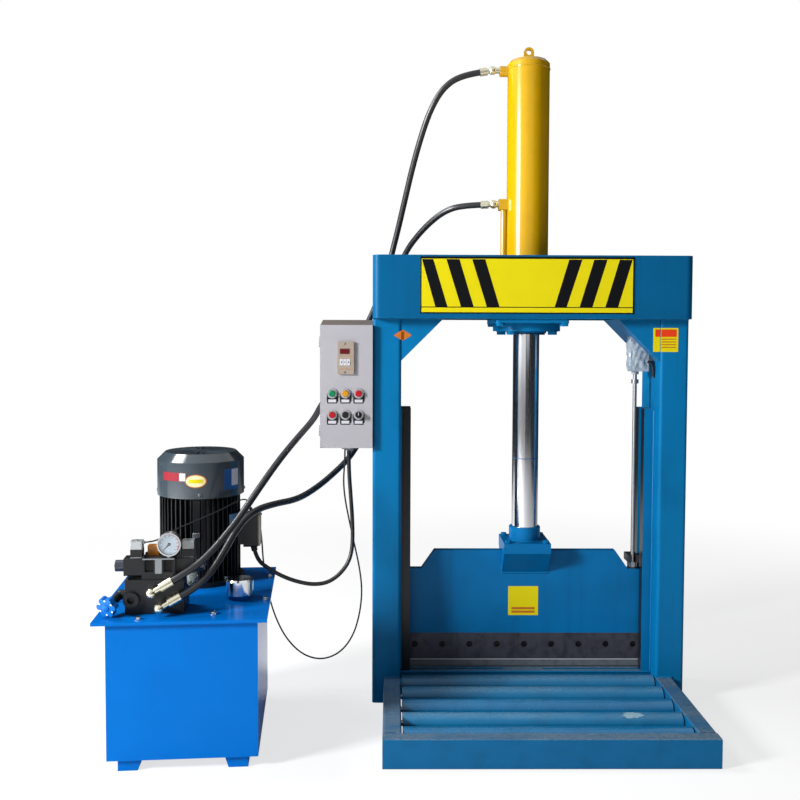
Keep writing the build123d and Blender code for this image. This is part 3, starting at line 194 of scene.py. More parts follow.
# The top channels carry the frame's blue enamel made darker: a painted shade.
shaded_channel_blue = surface("shaded_channel_blue_enamel", "025683", 0.36, mottle=0.3, mottle_size=170, streak=0.22,
                       streak_code="0a3c62", bump=0.15, bump_size=5, dust=0.3, edge_wear_and_highlight=0.5, edge_wear_and_highlight_colour="1f9fd0",
                       gloss=0.1)
table_blue = surface("dusty_blue_enamel", "035886", 0.42, mottle=0.35, mottle_size=60, grain=0.25, dust=0.9,
                     dust_code="6e7a80", dust_size=110, edge_wear_and_highlight=0.8, edge_wear_and_highlight_colour="7f98a6", bump=0.3, gloss=0.14)
roller_blue = surface("rubbed_roller_enamel", "02608f", 0.26, mottle=0.4, mottle_size=60, grain=0.3,
                      dust=0.12, dust_code="6f97a8", dust_size=120, edge_wear_and_highlight=0.5, bump=0.2, gloss=0.6)
dusty_roller = surface("dusty_roller_enamel", "046592", 0.34, mottle=0.4, mottle_size=60, grain=0.3,
                       dust=0.42, dust_code="7f9ba8", dust_size=90, edge_wear_and_highlight=0.6, bump=0.25, gloss=0.45)
knife_blue = surface("knife_blue_enamel", "02659d", 0.34, mottle=0.3, mottle_size=120, streak=0.22,
                     streak_code="0a3c62", bump=0.1, gloss=0.1)
tank_blue = surface("tank_blue_enamel", "0062b4", 0.2, mottle=0.12, mottle_size=140, bump=0.05, gloss=0.05)
cylinder_yellow = surface("cylinder_yellow_enamel", "c79a00", 0.18, mottle=0.18, mottle_size=120,
                          streak=0.15, streak_code="8a6410", gloss=0.5)
board_yellow = surface("board_yellow_print", "d2c40e", 0.42, mottle=0.06, gloss=0.1)
print_black = surface("board_black_print", "0a0b0e", 0.4, gloss=0.12)
print_red = surface("board_red_print", "d63a14", 0.42, gloss=0.2)
print_white = surface("white_print", "bdbdc4", 0.4, gloss=0.2)
sticker_red = surface("red_sticker", "861827", 0.35, gloss=0.3)
sticker_cream = surface("cream_sticker", "e2d9a8", 0.35, gloss=0.3)
print_orange = surface("orange_print", "b8651c", 0.5, mottle=0.3, mottle_size=12, gloss=0.2)
print_blue = surface("blue_print", "1c5290", 0.4, gloss=0.3)
bare_plate = surface("bare_name_plate", "6f93ad", 0.35, 0.5)
blade_steel = surface("oiled_blade_steel", "45464f", 0.4, 0.35, mottle=0.75, mottle_size=22, streak=0.3,
                      streak_code="17181c", grain=0.25, gloss=0.3)
# Bright steel for thin strips along edges; on the blade it is a painted highlight.
bright_edge_steel = surface("bright_edge_strip_steel", "c9ccd0", 0.35, 0.2, grain=0.2)
bevel_steel = surface("dusty_blade_bevel", "5a6066", 0.45, mottle=0.6, mottle_size=18, grain=0.3)
# Nearly black steel: grease on the sliding faces, and a painted shade on the left guide bar.
greased_and_shaded = surface("greased_and_shaded_guide_steel", "14181d", 0.3, mottle=0.4, mottle_size=20, gloss=0.3)
dark_steel = surface("blackened_steel", "2b2d31", 0.45, 0.4, grain=0.15)
screw_black = surface("black_oxide_screw", "060608", 0.45, gloss=0.2)
bolt_steel = surface("dull_zinc_bolt", "8d9194", 0.38, 1.0, grain=0.2)
bright_bolt = surface("bright_zinc_bolt", "d4d8dc", 0.22, 1.0)
weld = surface("painted_weld", "02689c", 0.36, mottle=0.3, mottle_size=9, bump=0.3, bump_size=3, gloss=0.2)
chrome = surface("hard_chrome", "dcdee2", 0.14, 1.0, grain=0.04, grain_size=20)
machined = surface("machined_steel", "9a9c9e", 0.35, 1.0, grain=0.15)
zinc = surface("pale_zinc_plate", "d8d4bc", 0.28, 1.0, grain=0.15)
box_grey = surface("grey_powder_coat", "9f9da3", 0.5, mottle=0.05, bump=0.15, bump_size=1.2, dust=0.75,
                   dust_code="7d756c", dust_size=90, gloss=0.25)
darker_brown_top = surface("darker_brown_box_top", "6a6058", 0.6, mottle=0.4, mottle_size=14, gloss=0.2)
relay_beige = surface("beige_plastic", "96897d", 0.45, gloss=0.25)
relay_dark = surface("relay_side_plastic", "4c443e", 0.5)
display_red = surface("dark_red_window", "5c1216", 0.15)
label_black = surface("label_holder", "18191c", 0.35, gloss=0.25)
bezel_metal = surface("satin_nickel", "b4b6ba", 0.3, 0.6)
green = surface("green_lens", "08744a", 0.25, gloss=0.4)
yellow = surface("amber_lens", "bd820e", 0.25, gloss=0.4)
red = surface("red_lens", "a3121e", 0.25, gloss=0.4)
black_plastic = surface("black_plastic", "141518", 0.36, gloss=0.3)
scuffed = surface("scuffed_enamel", "86a5b3", 0.5, mottle=0.5, mottle_size=7)
film = surface("cloudy_film", "93a0ac", 0.3, mottle=0.95, mottle_size=14, bump=0.6, bump_size=9, gloss=0.6)
motor_black = surface("motor_black_enamel", "141618", 0.32, mottle=0.2, bump=0.2, bump_size=4, gloss=0.3)
cowl_grey = surface("cowl_slate_enamel", "353f46", 0.14, mottle=0.15, mottle_size=40, gloss=0.7)
cover_beige = surface("terminal_cover_paint", "8a8268", 0.45, mottle=0.3, mottle_size=30)
valve_black = surface("phosphated_block", "17191c", 0.4, mottle=0.25, mottle_size=20, grain=0.15,
                      gloss=0.25)
valve_plate = surface("grey_valve_plate", "7f8488", 0.4, 0.6)
clear_plug = surface("clear_plug_shell", "b8bcbe", 0.12, transmission=0.35)
knurled = surface("knurled_coil_nut", "2a2e38", 0.28, grain=0.3)
amber_plastic = surface("amber_plastic", "c77a16", 0.35)
dial_white = surface("gauge_dial", "d7e2ec", 0.4, gloss=0.2)
glass = surface("gauge_glass", "f4f8fa", 0.03, transmission=1.0)
cup_clear = surface("clear_cup", "c8d4d8", 0.08, transmission=0.7)
knob_blue = surface("blue_plastic", "0b66b8", 0.35, gloss=0.25)
hose_rubber = surface("black_hose_rubber", "1d1e22", 0.34, grain=0.2, grain_size=6, mottle=0.2,
                      mottle_size=15)
cable_rubber = surface("black_cable_sheath", "101114", 0.38)

finishes = {
    press_blue: ("left_column", "right_column", "corner_gussets", "cylinder_mount_plate", "guide_bars"),
    shaded_channel_blue: ("front_top_channel", "rear_top_channel"),
    table_blue: ("table_frame", "anvil_beam"),
    roller_blue: ("roller_3", "roller_5"), dusty_roller: ("roller_1", "roller_2", "roller_4"),
    film: ("limit_switch",),
    knife_blue: ("knife_bracket", "knife_holder", "rod_collar", "rod_gland"),
    tank_blue: ("oil_tank", "tank_lid"),
    cylinder_yellow: ("cylinder_barrel", "lifting_eye"),
    board_yellow: ("sign_board",),
    blade_steel: ("blade",),
    dark_steel: ("motor_rotor", "gear_pump", "trip_fork"),
    chrome: ("piston_rod", "filler_cap"),
    machined: ("piston", "roller_axles", "trip_rod", "door_lock", "control_gear", "pressure_gauge"),
    zinc: ("hose_fittings",),
    box_grey: ("control_enclosure", "control_door"),
    relay_beige: ("timer_relay",),
    bezel_metal: ("button_bodies",),
    green: ("green_button",), yellow: ("yellow_button",), red: ("red_button", "lower_red_button"),
    black_plastic: ("black_button", "selector_switch", "solenoid_coils", "gauge_needle", "relief_valve"),
    motor_black: ("motor_body",), cowl_grey: ("motor_cowl",),
    valve_black: ("manifold_block", "directional_valve"),
    knob_blue: ("relief_knob",),
}
for material, names in finishes.items():
    for name in names:
        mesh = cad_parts[name].data
        mesh.materials.clear()
        mesh.materials.append(material)


def face_places(name):
    """Middle of each face of a CAD node, in millimetres."""
    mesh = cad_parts[name].data
    places = np.empty(len(mesh.polygons) * 3, np.float32)
    mesh.polygons.foreach_get("center", places)
    return places.reshape(-1, 3) * 1000.0


def paint_faces(name, material, chosen):
    """Gives the chosen faces of a CAD node a second material."""
    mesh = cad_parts[name].data
    mesh.materials.append(material)
    index = np.zeros(len(mesh.polygons), np.int32)
    mesh.polygons.foreach_get("material_index", index)
    index[chosen] = len(mesh.materials) - 1
    mesh.polygons.foreach_set("material_index", index)


# Depths along y of the flat faces that carry added pieces, and the power unit's place and turn on the floor.
BOARD, COLUMN, GUSSET, KNIFE, DOOR, TIMER = -147, -105, -100, -14, -120, -129
UNIT_TURN = math.radians(4.5)
UNIT_AXES = np.array(((math.cos(UNIT_TURN), math.sin(UNIT_TURN), 0),
                      (-math.sin(UNIT_TURN), math.cos(UNIT_TURN), 0), (0, 0, 1)))
UNIT_ORIGIN = np.array((-960.0, -317.0, 0.0))


def unit_places(name):
    """The same, in the turned axes of the power unit."""
    return (face_places(name) - UNIT_ORIGIN) @ UNIT_AXES.T


# Limits, in millimetres, between the parts of a node that have different finishes. The valve and its coils
# are even about VALVE_X, in the power unit's axes.
FLANGE_TOP, BOX_TOP = 1156, 1136
VALVE_X, VALVE_Z, PLUG_Z = -67, 511, 541
COIL_NUT_REACH, COVER_X = 91, 168.5
paint_faces("cylinder_barrel", press_blue, face_places("cylinder_barrel")[:, 2] < FLANGE_TOP)
coil_places = unit_places("solenoid_coils")
paint_faces("solenoid_coils", knurled, np.abs(coil_places[:, 0] - VALVE_X) > COIL_NUT_REACH)
paint_faces("solenoid_coils", clear_plug, coil_places[:, 2] > PLUG_Z)
valve_places = unit_places("directional_valve")
paint_faces("directional_valve", screw_black,
            (valve_places[:, 1] > -171.5) & (np.abs(valve_places[:, 0] - VALVE_X) < 36)
            & (np.abs(valve_places[:, 2] - VALVE_Z) < 17))
box_places = unit_places("motor_body")
paint_faces("motor_body", cover_beige, box_places[:, 0] > COVER_X)
# The control box's top faces are a darker brown-grey.
paint_faces("control_enclosure", darker_brown_top, face_places("control_enclosure")[:, 2] > BOX_TOP)
# The sliding faces of both guide bars are greased, and every face of the left guide bar is painted dark as
# painted shade.
guide_places = face_places("guide_bars")
sliding = np.abs(guide_places[:, 0]) < np.abs(guide_places[:, 0]).min() + 0.5
paint_faces("guide_bars", greased_and_shaded, (guide_places[:, 0] < 0) | sliding)
paint_faces("timer_relay", relay_dark, face_places("timer_relay")[:, 1] > DOOR)
print("finishes", len(finishes))

# %% [markdown]
# ## Shapes
# Every added piece is a surface worked out from two running numbers, such as the height of a ring and the
# angle round it. A shape is its points, in millimetres, and its faces. It is made lying on the plane of its
# own x and y with z outward, then seated on the model.

# %% Shape helpers
FRONT = np.array(((1, 0, 0), (0, 0, 1), (0, -1, 0)), float)
TOP = np.array(((1, 0, 0), (0, 1, 0), (0, 0, 1)), float)
UNDER = np.array(((1, 0, 0), (0, -1, 0), (0, 0, -1)), float)
RIGHT = np.array(((0, 1, 0), (0, 0, 1), (1, 0, 0)), float)


def skin(points, wrap=True, caps=True):
    """Faces over rows of points. Each row is a ring where wrap is set, and caps close the first and last."""
    points = np.asarray(points, float)
    rows, columns = points.shape[:2]
    index = np.arange(rows * columns).reshape(rows, columns)
    near = index if wrap else index[:, :-1]
    far = np.roll(index, -1, 1) if wrap else index[:, 1:]
    faces = np.stack((near[:-1], far[:-1], far[1:], near[1:]), -1).reshape(-1, 4).tolist()
    if caps:
        faces += [index[0][::-1].tolist(), index[-1].tolist()]
    return points.reshape(-1, 3), faces


def lathe(profile, sides=32, caps=True):
    """Turned shape: point (i, j) is radius i at angle j, at height i."""
    profile = np.asarray(profile, float)
    angle = np.arange(sides) * 2 * np.pi / sides
    radius, height = profile[:, :1], profile[:, 1:]
    return skin(np.stack((radius * np.cos(angle), radius * np.sin(angle), height + 0 * angle), -1), True,
                caps)


def washer_ring(outer, inner, depth, sides=48):
    """Flat ring: a turned rectangle that closes on itself."""
    return lathe([(inner, 0), (outer, 0), (outer, depth), (inner, depth), (inner, 0)], sides, False)


def prism(outline, depth):
    """The outline at height 0 and again at depth."""
    outline = np.asarray(outline, float)
    flat = np.zeros((len(outline), 1))
    return skin(np.stack((np.hstack((outline, flat)), np.hstack((outline, flat + depth)))))


def rounded(width, height, corner, steps=5):
    """Outline of a rectangle with round corners: corner middle plus radius times (cos, sin)."""
    angle = (np.arange(4)[:, None] + np.linspace(0, 1, steps)) * np.pi / 2
    signs = np.array(((1, 1), (-1, 1), (-1, -1), (1, -1)))
    middle = signs[:, None] * (width / 2 - corner, height / 2 - corner)
    return (middle + corner * np.stack((np.cos(angle), np.sin(angle)), -1)).reshape(-1, 2)


def slab(width, height, depth, corner=1.0, bevel=0.3):
    """Plate with round corners whose outer edge is drawn in by the bevel."""
    edge = rounded(width, height, corner)
    inner = rounded(width - 2 * bevel, height - 2 * bevel, max(corner - bevel, 0.05))
    rows = [np.hstack((ring, np.full((len(ring), 1), level)))
            for ring, level in ((edge, 0), (edge, depth - bevel), (inner, depth))]
    return skin(np.stack(rows))


def hexagon_bolt(across, height):
    """Washer, and a hexagon head whose top edge is drawn in."""
    face = across / math.sqrt(3)
    head = lathe([(face, 1.2), (face, height - 1.2), (face * 0.9, height)], 6)
    return join(lathe([(across * 0.68, 0), (across * 0.68, 1.4)]), head)


def socket_screw(radius, height):
    """Cap head with a six-sided hole: the profile runs up the rim and down to the hole's floor."""
    rim = lathe([(radius, 0), (radius, height * 0.85), (radius * 0.92, height), (radius * 0.5, height)], 24,
                False)
    hole = lathe([(radius * 0.5, height), (radius * 0.46, height * 0.4)], 6)
    return join(rim, hole)


def smooth_line(points, steps=12):
    """Catmull-Rom curve through the points: a cubic of the running number between each pair."""
    points = np.asarray(points, float)
    padded = np.vstack((2 * points[0] - points[1], points, 2 * points[-1] - points[-2]))
    t = np.linspace(0, 1, steps, endpoint=False)[None, :, None]
    a, b, c, d = (padded[i:len(padded) - 3 + i][:, None] for i in range(4))
    square, cube = 2 * a - 5 * b + 4 * c - d, 3 * b - a - 3 * c + d
    curve = 0.5 * (2 * b + (c - a) * t + square * t ** 2 + cube * t ** 3)
    return np.vstack((curve.reshape(-1, 3), points[-1]))


def tube(path, radius, sides=12, up=(0.31, 0.17, 0.93)):
    """Round section carried along a path: path point i plus radius i times a ring square to the path."""
    path = np.asarray(path, float)
    along = np.gradient(path, axis=0)
    along /= np.linalg.norm(along, axis=1, keepdims=True)
    side = np.cross(along, up)
    side /= np.linalg.norm(side, axis=1, keepdims=True)
    over = np.cross(along, side)
    angle = np.arange(sides) * 2 * np.pi / sides
    radius = np.broadcast_to(radius, len(path))[:, None, None]
    ring = side[:, None] * np.cos(angle)[None, :, None] + over[:, None] * np.sin(angle)[None, :, None]
    return skin(path[:, None] + radius * ring)


def bead(start, end, radius=3.0, ripple=5.0):
    """Weld bead: a thin tube whose radius swells every few millimetres."""
    start, end = np.array(start, float), np.array(end, float)
    length = np.linalg.norm(end - start)
    count = int(length / ripple * 4) + 2
    run = np.linspace(0, 1, count)
    swell = 1 + 0.13 * np.cos(2 * np.pi * run * length / ripple) + 0.08 * np.sin(run * length / 17)
    return tube(start + (end - start) * run[:, None], radius * swell, 8)


def round_patch(radius, angles, heights, depth=0.4, steps=16):
    """Sticker on a drum: angle and height run between their limits, on two radii."""
    angle = np.radians(np.linspace(*angles, steps))
    low, high = heights
    corner = [(radius, low), (radius, high), (radius + depth, high), (radius + depth, low)]
    rows = [np.stack((r * np.sin(angle), -r * np.cos(angle), 0 * angle + z), -1) for r, z in corner]
    return skin(np.stack(rows, 1))


def oval_patch(radius, angle, height, spread, tall, depth=0.4, steps=40):
    """Oval sticker on a drum: rings of the oval grow from its middle, then step out to the depth."""
    turn = np.arange(steps) * 2 * np.pi / steps
    rows = []
    for grow, lift in ((1, 0), (1, depth), (0.66, depth), (0.33, depth), (0.02, depth)):
        around = np.radians(angle + spread * grow * np.cos(turn))
        reach = radius + lift
        rows.append(np.stack((reach * np.sin(around), -reach * np.cos(around),
                              height + tall * grow * np.sin(turn)), -1))
    return skin(np.stack(rows))


def join(*shapes):
    """Several shapes as one."""
    points, faces, base = [], [], 0
    for spots, sides in shapes:
        points.append(spots)
        faces += [[base + i for i in face] for face in sides]
        base += len(spots)
    return np.vstack(points), faces


def seat(shape, origin, axes=TOP):
    """The shape moved from its own axes to its place."""
    return shape[0] @ axes + np.asarray(origin, float), shape[1]


def on_unit(shape):
    """From the power unit's axes to the row's."""
    return shape[0] @ UNIT_AXES + UNIT_ORIGIN, shape[1]


made_pieces = []


def build(name, material, slot, body, *shapes):
    """A mesh piece of the shapes, riding on a body, with outward faces, smooth but for its sharp edges."""
    points, faces = join(*shapes)
    mesh = bpy.data.meshes.new(name)
    mesh.from_pydata((points / 1000).tolist(), [], faces)
    work = bmesh.new()
    work.from_mesh(mesh)
    bmesh.ops.remove_doubles(work, verts=work.verts, dist=1e-6)
    bmesh.ops.recalc_face_normals(work, faces=work.faces)
    work.to_mesh(mesh)
    work.free()
    mesh.shade_smooth()
    mesh.set_sharp_from_angle(angle=math.radians(35))
    mesh.materials.append(material)
    piece = bpy.data.objects.new(name, mesh)
    bpy.context.collection.objects.link(piece)
    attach(piece, body)
    made_pieces.append(piece)
    return piece


# %% [markdown]
# ## Printed board, patches and labels
# The board's black stripes lean outward from a plain yellow middle, inside a thin black border. The patches
# are plain fields of colour, set a hair proud of the paint.

# %% Board
PRINT = 0.25
# Left and right edge of each stripe at its top, and then at its foot.
stripes = ((-326.4, -293.7, -287.3, -251.5), (-255.3, -217.3, -212.3, -175.2),
           (-180.3, -142.3, -136.9, -99.7), (102.8, 140.8, 61.4, 96.5),
           (175.7, 214.1, 134.3, 171.8), (250.2, 287.4, 209.6, 246.9))
board_face = (0, BOARD, 0)
bands = [[(a, 1329), (b, 1329), (d, 1191), (c, 1191)] for a, b, c, d in stripes]
bands += [[(-331, 1330.5), (293, 1330.5), (293, 1336.5), (-331, 1336.5)],
          [(-331, 1171.5), (293, 1171.5), (293, 1175), (-331, 1175)],
          [(-331, 1171.5), (-327.5, 1171.5), (-327.5, 1336.5), (-331, 1336.5)],
          [(289.5, 1171.5), (293, 1171.5), (293, 1336.5), (289.5, 1336.5)],
          [(-328, 1188.6), (290, 1188.6), (290, 1191.2), (-328, 1191.2)]]
build("board_stripes", print_black, "black_plastic", "frame",
      *[seat(prism(band, PRINT), board_face, FRONT) for band in bands])

# %% Patches
STICKER = 0.3
build("knife_patch", board_yellow, "sign_yellow", "knife",
      seat(slab(93, 91, STICKER, 2, 0.1), (-4, KNIFE, 286.5), FRONT))
build("knife_patch_bars", print_orange, "sign_yellow", "knife",
      *[seat(prism([(-36, z), (36, z), (36, z + 7), (-36, z + 7)], 0.2), (-4, KNIFE - STICKER, 286.5), FRONT)
        for z in (-38, -27)])
build("column_patch", board_yellow, "sign_yellow", "frame",
      seat(slab(52, 71, STICKER, 2, 0.1), (411.5, COLUMN, 1096), FRONT),
      seat(slab(21, 71, STICKER, 0.3, 0.1), (374.8, GUSSET, 1096), FRONT))
build("column_patch_band", print_red, "red_plastic", "frame",
      seat(slab(46, 22, 0.2, 1, 0.1), (409.5, COLUMN - STICKER, 1116), FRONT),
      seat(slab(15, 22, 0.2, 0.3, 0.1), (377.6, GUSSET - STICKER, 1116), FRONT))
build("column_patch_bars", print_orange, "sign_yellow", "frame",
      *[seat(slab(44, 3, 0.2, 0.5, 0.1), (409, COLUMN - STICKER, z), FRONT)
        for z in (1098, 1090, 1082, 1074)])
build("gusset_patch", print_orange, "sign_yellow", "frame",
      seat(prism([(-408, 1107.5), (-385.2, 1093.5), (-385.2, 1121.5)], STICKER), (0, COLUMN, 0), FRONT),
      seat(prism([(-384.8, 1093.3), (-380.5, 1091.3), (-353.6, 1107.5), (-380.5, 1123.6), (-384.8, 1121.7)],
                 STICKER), (0, GUSSET, 0), FRONT))

# %% Scuffs
# A rubbed patch on the fourth roller: rings of points inside a ragged outline, laid on its drum. A thin
# bright strip runs down the guide bar's front edge.
ROLLER_4_Y, ROLLER_4_Z = -374.5, 49.5
SCUFF_RADIUS = 28.9
SCUFF_LENGTH, SCUFF_TURN = 27, 0.4
GUIDE_EDGE_X, GUIDE_FRONT_Y = 383.5, -49.4
scuff_turn, scuff_row = np.meshgrid(np.arange(48) * np.pi / 24, np.array((1.0, 0.5, 0.02)))
ragged = (1 + 0.1 * np.sin(3 * scuff_turn + 1) + 0.09 * np.sin(7 * scuff_turn)
          + 0.07 * np.sin(12 * scuff_turn))
scuff_x = 245 + SCUFF_LENGTH * scuff_row * ragged * np.cos(scuff_turn)
scuff_lean = np.radians(20) + scuff_row * ragged * np.sin(scuff_turn) * SCUFF_TURN
scuff_y = ROLLER_4_Y - SCUFF_RADIUS * np.sin(scuff_lean)
scuff_z = ROLLER_4_Z + SCUFF_RADIUS * np.cos(scuff_lean)
build("roller_scuff", scuffed, "worn_paint", "roller_4", skin(np.stack((scuff_x, scuff_y, scuff_z), -1)))
build("guide_bright_edge_strip", bright_edge_steel, "frame_paint", "frame",
      seat(slab(1.8, 770, 0.3, 0.4, 0.05), (GUIDE_EDGE_X, GUIDE_FRONT_Y, 485), FRONT))

# %% [markdown]
# ## Screws, welds and marks on the press
# Small fasteners that the CAD leaves to this script, and the bead of weld along each joint.

# %% Fasteners
build("flange_bolts", press_blue, "frame_paint", "frame",
      *[seat(hexagon_bolt(24, 11), (90 * math.cos(t), 90 * math.sin(t), 1121), UNDER)
        for t in np.radians((52, 142, 232, 322))],
      *[seat(hexagon_bolt(22, 10), (x, y, 1145), UNDER) for x in (-94, 94) for y in (-122, 122)])
build("seat_bolts", knife_blue, "knife_paint", "knife",
      *[seat(hexagon_bolt(16, 8), (x, y, 477), TOP) for x in (-58, 58) for y in (-58, 58)])
SCREW_PITCH, BLADE_WIDTH = 84.8, 749
build("blade_screws", screw_black, "dark_steel", "knife",
      *[seat(socket_screw(9.1, 5), ((i - 4) * SCREW_PITCH, -7.5, 150), FRONT) for i in range(9)])
# A thin bright strip along the top of the blade's bevel is a painted highlight.
build("blade_edge_highlight", bright_edge_steel, "machined_steel", "knife",
      seat(slab(BLADE_WIDTH, 2.4, 0.2, 0.4, 0.05), (0, KNIFE, 103), FRONT))
build("blade_ground_bevel", bevel_steel, "machined_steel", "knife",
      seat(slab(BLADE_WIDTH, 18.5, 0.2, 0.4, 0.05), (0, KNIFE, 92), FRONT))
build("rod_mark", print_blue, "blue_plastic", "knife",
      seat(lathe([(40, 0), (40.3, 0.2), (40.3, 2.2), (40, 2.4)], 64), (0, 0, 730)))
build("wiper_seal", black_plastic, "black_plastic", "frame", seat(washer_ring(55, 40.6, 3), (0, 0, 1112)))

# %% Weld beads
# Start, end and radius of each straight bead.
lines = [((-468, -105, 1156), (-262, -105, 1156), 2), ((262, -105, 1156), (468, -105, 1156), 2),
         ((-105, -106, 1155), (105, -106, 1155), 3), ((-384, -50, 84), (-384, -50, 884), 2.6),
         ((384, -50, 84), (384, -50, 884), 2.6), ((-434, -106, 79), (-387, -106, 79), 3.2),
         ((387, -106, 79), (434, -106, 79), 3.2),
         ((-384, -56, 79), (384, -56, 78), 2.2), ((-384, -108, 76), (-384, -150, 76), 2)]
build("frame_welds", weld, "frame_paint", "frame", *[bead(a, b, c) for a, b, c in lines])
round_collar = np.linspace(0, 6.28, 90)
build("knife_welds", weld, "knife_paint", "knife", bead((-70, KNIFE, 400), (-70, KNIFE, 374), 2.5),
      bead((70, KNIFE, 400), (70, KNIFE, 374), 2.5), bead((-70, -15, 375), (70, -15, 375), 2.6),
      bead((-71, 14.5, 444), (71, 14.5, 444), 2.5),
      tube(np.stack((49 * np.cos(round_collar), 49 * np.sin(round_collar), np.full(90, 478)), -1),
           2.6 + 0.4 * np.cos(np.arange(90) * 1.6), 8))
turn = np.linspace(0, 2 * np.pi, 161)
rings = [tube(np.stack((63.6 * np.cos(turn), 63.6 * np.sin(turn), 0 * turn + z), -1),
              size + 0.3 * np.cos(turn * 48), 8)
         for z, size in ((1913, 1.8), (1158.5, 3.2))]
build("cylinder_welds", cylinder_yellow, "cylinder_paint", "frame", *rings)

# %% Limit switch wrapping and its lead
sides = np.arange(64) * 2 * np.pi / 64
level = np.linspace(0, 1, 26)[:, None]
round_box = (np.abs(np.cos(sides)) ** 3.2 + np.abs(np.sin(sides)) ** 3.2) ** (-1 / 3.2)
crease = (1 + 0.05 * np.sin(5 * sides + 9 * level) + 0.04 * np.sin(11 * sides - 14 * level)
          + 0.03 * np.sin(23 * level + 3 * sides))
wide = 31 * (1 - 0.25 * (2 * level - 1) ** 8) * crease
wrap_x = 337 + wide * round_box * np.cos(sides)
wrap_y = -28 + wide * 0.8 * round_box * np.sin(sides)
wrap_z = np.minimum(1003 + 100 * level + 3 * np.sin(7 * sides), 1415.5 - wrap_x)
build("switch_wrapping", film, "switch_plastic", "frame", skin(np.stack((wrap_x, wrap_y, wrap_z), -1)))
build("switch_lead", cable_rubber, "cable_black", "frame",
      tube(smooth_line([(362, -50, 1030), (371, -52, 1026), (378, -52, 1012), (380, -50, 994),
                        (386, -46, 981)]), 4.5))

# %% [markdown]
# ## Control box
# Label holders with their plates under the buttons, and the face of the timer: a dark red window, white thumb
# wheels, lines and screws.

# %% Control box face
buttons = [(x, z) for z in (935, 872) for x in (-589, -550, -511)]
wheels = (-10.4, 0, 10.4)
build("label_holders", label_black, "black_plastic", "door",
      *[seat(slab(30, 15, 1.6, 1.5, 0.4), (x, DOOR, z - 22), FRONT) for x, z in buttons],
      *[seat(slab(34, 26, 1.3, 1.5, 0.2), (x + 1, DOOR, z - 11), FRONT) for x, z in buttons])
build("label_faces", print_white, "relay_beige", "door",
      *[seat(slab(23, 8.5, 0.3, 0.5, 0.1), (x, DOOR - 1.6, z - 22), FRONT) for x, z in buttons])
build("timer_window_frame", relay_dark, "black_plastic", "door",
      seat(slab(30, 17, 0.5, 1.5, 0.2), (-551.5, TIMER, 1059.5), FRONT))
build("timer_wheel_marks", label_black, "black_plastic", "door",
      *[seat(slab(2.2, 5, 0.2, 0.5, 0.05), (-551 + x, TIMER - 1.2, 1027.5), FRONT) for x in wheels])
build("timer_window", display_red, "red_plastic", "door",
      seat(slab(27, 13, 0.3, 1, 0.1), (-552, TIMER - 0.5, 1059.5), FRONT))
build("timer_wheels", print_white, "relay_beige", "door",
      *[seat(slab(9.4, 19, 1.2, 1.0, 0.4), (-551 + x, TIMER, 1027.5), FRONT) for x in wheels])
build("timer_lines", print_orange, "red_plastic", "door",
      *[seat(slab(42, 0.9, 0.25, 0.3, 0.1), (-549, TIMER, z), FRONT) for z in (1046.5, 1007.5)])
build("timer_screws", bolt_steel, "bezel_metal", "door",
      *[seat(lathe([(3.2, 0), (3.2, 0.6), (2.4, 1.3), (0.1, 1.4)], 20), (-552, TIMER, z), FRONT)
        for z in (1082.5, 998.5)])
build("selector_mark", print_white, "relay_beige", "selector",
      seat(slab(1.6, 9, 0.3, 0.5, 0.1), (-511, -138, 876), FRONT))

# %% [markdown]
# ## Power unit
# Plain stickers on the fan cowl, the gauge's dial and glass, plugs, screws, and the knob's dots.

# %% Motor
drum = (0, 185, 0)
COWL = 125
LID_TOP, VALVE_FRONT, VALVE_TOP, MANIFOLD_TOP = 388, -172, 531, 476


def on_drum(shape):
    """A shape about the motor's upright axis."""
    return on_unit(seat(shape, drum, TOP))


build("cowl_sticker_red", sticker_red, "red_plastic", "frame",
      on_drum(round_patch(COWL, (-50, -13), (693, 717))))
build("cowl_sticker_red_band", print_white, "relay_beige", "frame",
      on_drum(round_patch(COWL + 0.4, (-22, -13.5), (694, 716), 0.2)))
build("cowl_sticker_oval", print_orange, "red_plastic", "frame", on_drum(oval_patch(COWL, 0, 694, 14, 19)))
build("cowl_sticker_oval_face", sticker_cream, "sign_yellow", "frame",
      on_drum(oval_patch(COWL + 0.4, 0, 694, 12.6, 16.5, 0.2)))
build("cowl_sticker_oval_band", board_yellow, "sign_yellow", "frame",
      on_drum(round_patch(COWL + 0.6, (-9, 9), (689, 699), 0.2)))
build("cowl_sticker_blue", print_blue, "blue_plastic", "frame",
      on_drum(round_patch(COWL, (38, 64), (664, 724))))
build("cowl_sticker_blue_bars", print_white, "relay_beige", "frame",
      on_drum(round_patch(COWL + 0.4, (50, 63), (675, 722), 0.2)))
build("name_plate", bare_plate, "machined_steel", "frame",
      on_drum(round_patch(119, (48, 66), (520, 590), 0.8)))
cowl_screws = []
for spin in np.radians((4.5, 94.5, 184.5, 274.5)):
    c, n = math.cos(spin), math.sin(spin)
    axes = np.array(((c, n, 0), (0, 0, 1), (n, -c, 0)))
    cowl_screws.append(on_drum(seat(lathe([(4.5, 0), (4.5, 1.5), (3.4, 3), (0.1, 3.2)], 20),
                                    (COWL * n, -COWL * c, 655), axes)))
build("cowl_screws", bolt_steel, "machined_steel", "frame", *cowl_screws)
build("lifting_lug", bolt_steel, "machined_steel", "frame",
      on_drum(seat(slab(20, 15, 5, 3, 1), (0, -119, 539), FRONT)),
      on_drum(seat(socket_screw(6, 6), (0, -124, 539), FRONT)))
build("motor_feet_bolts", bolt_steel, "machined_steel", "frame",
      *[on_drum(seat(hexagon_bolt(17, 9), (112 * math.cos(t), 112 * math.sin(t), 402), TOP))
        for t in np.radians((45, 135, 225, 315))])
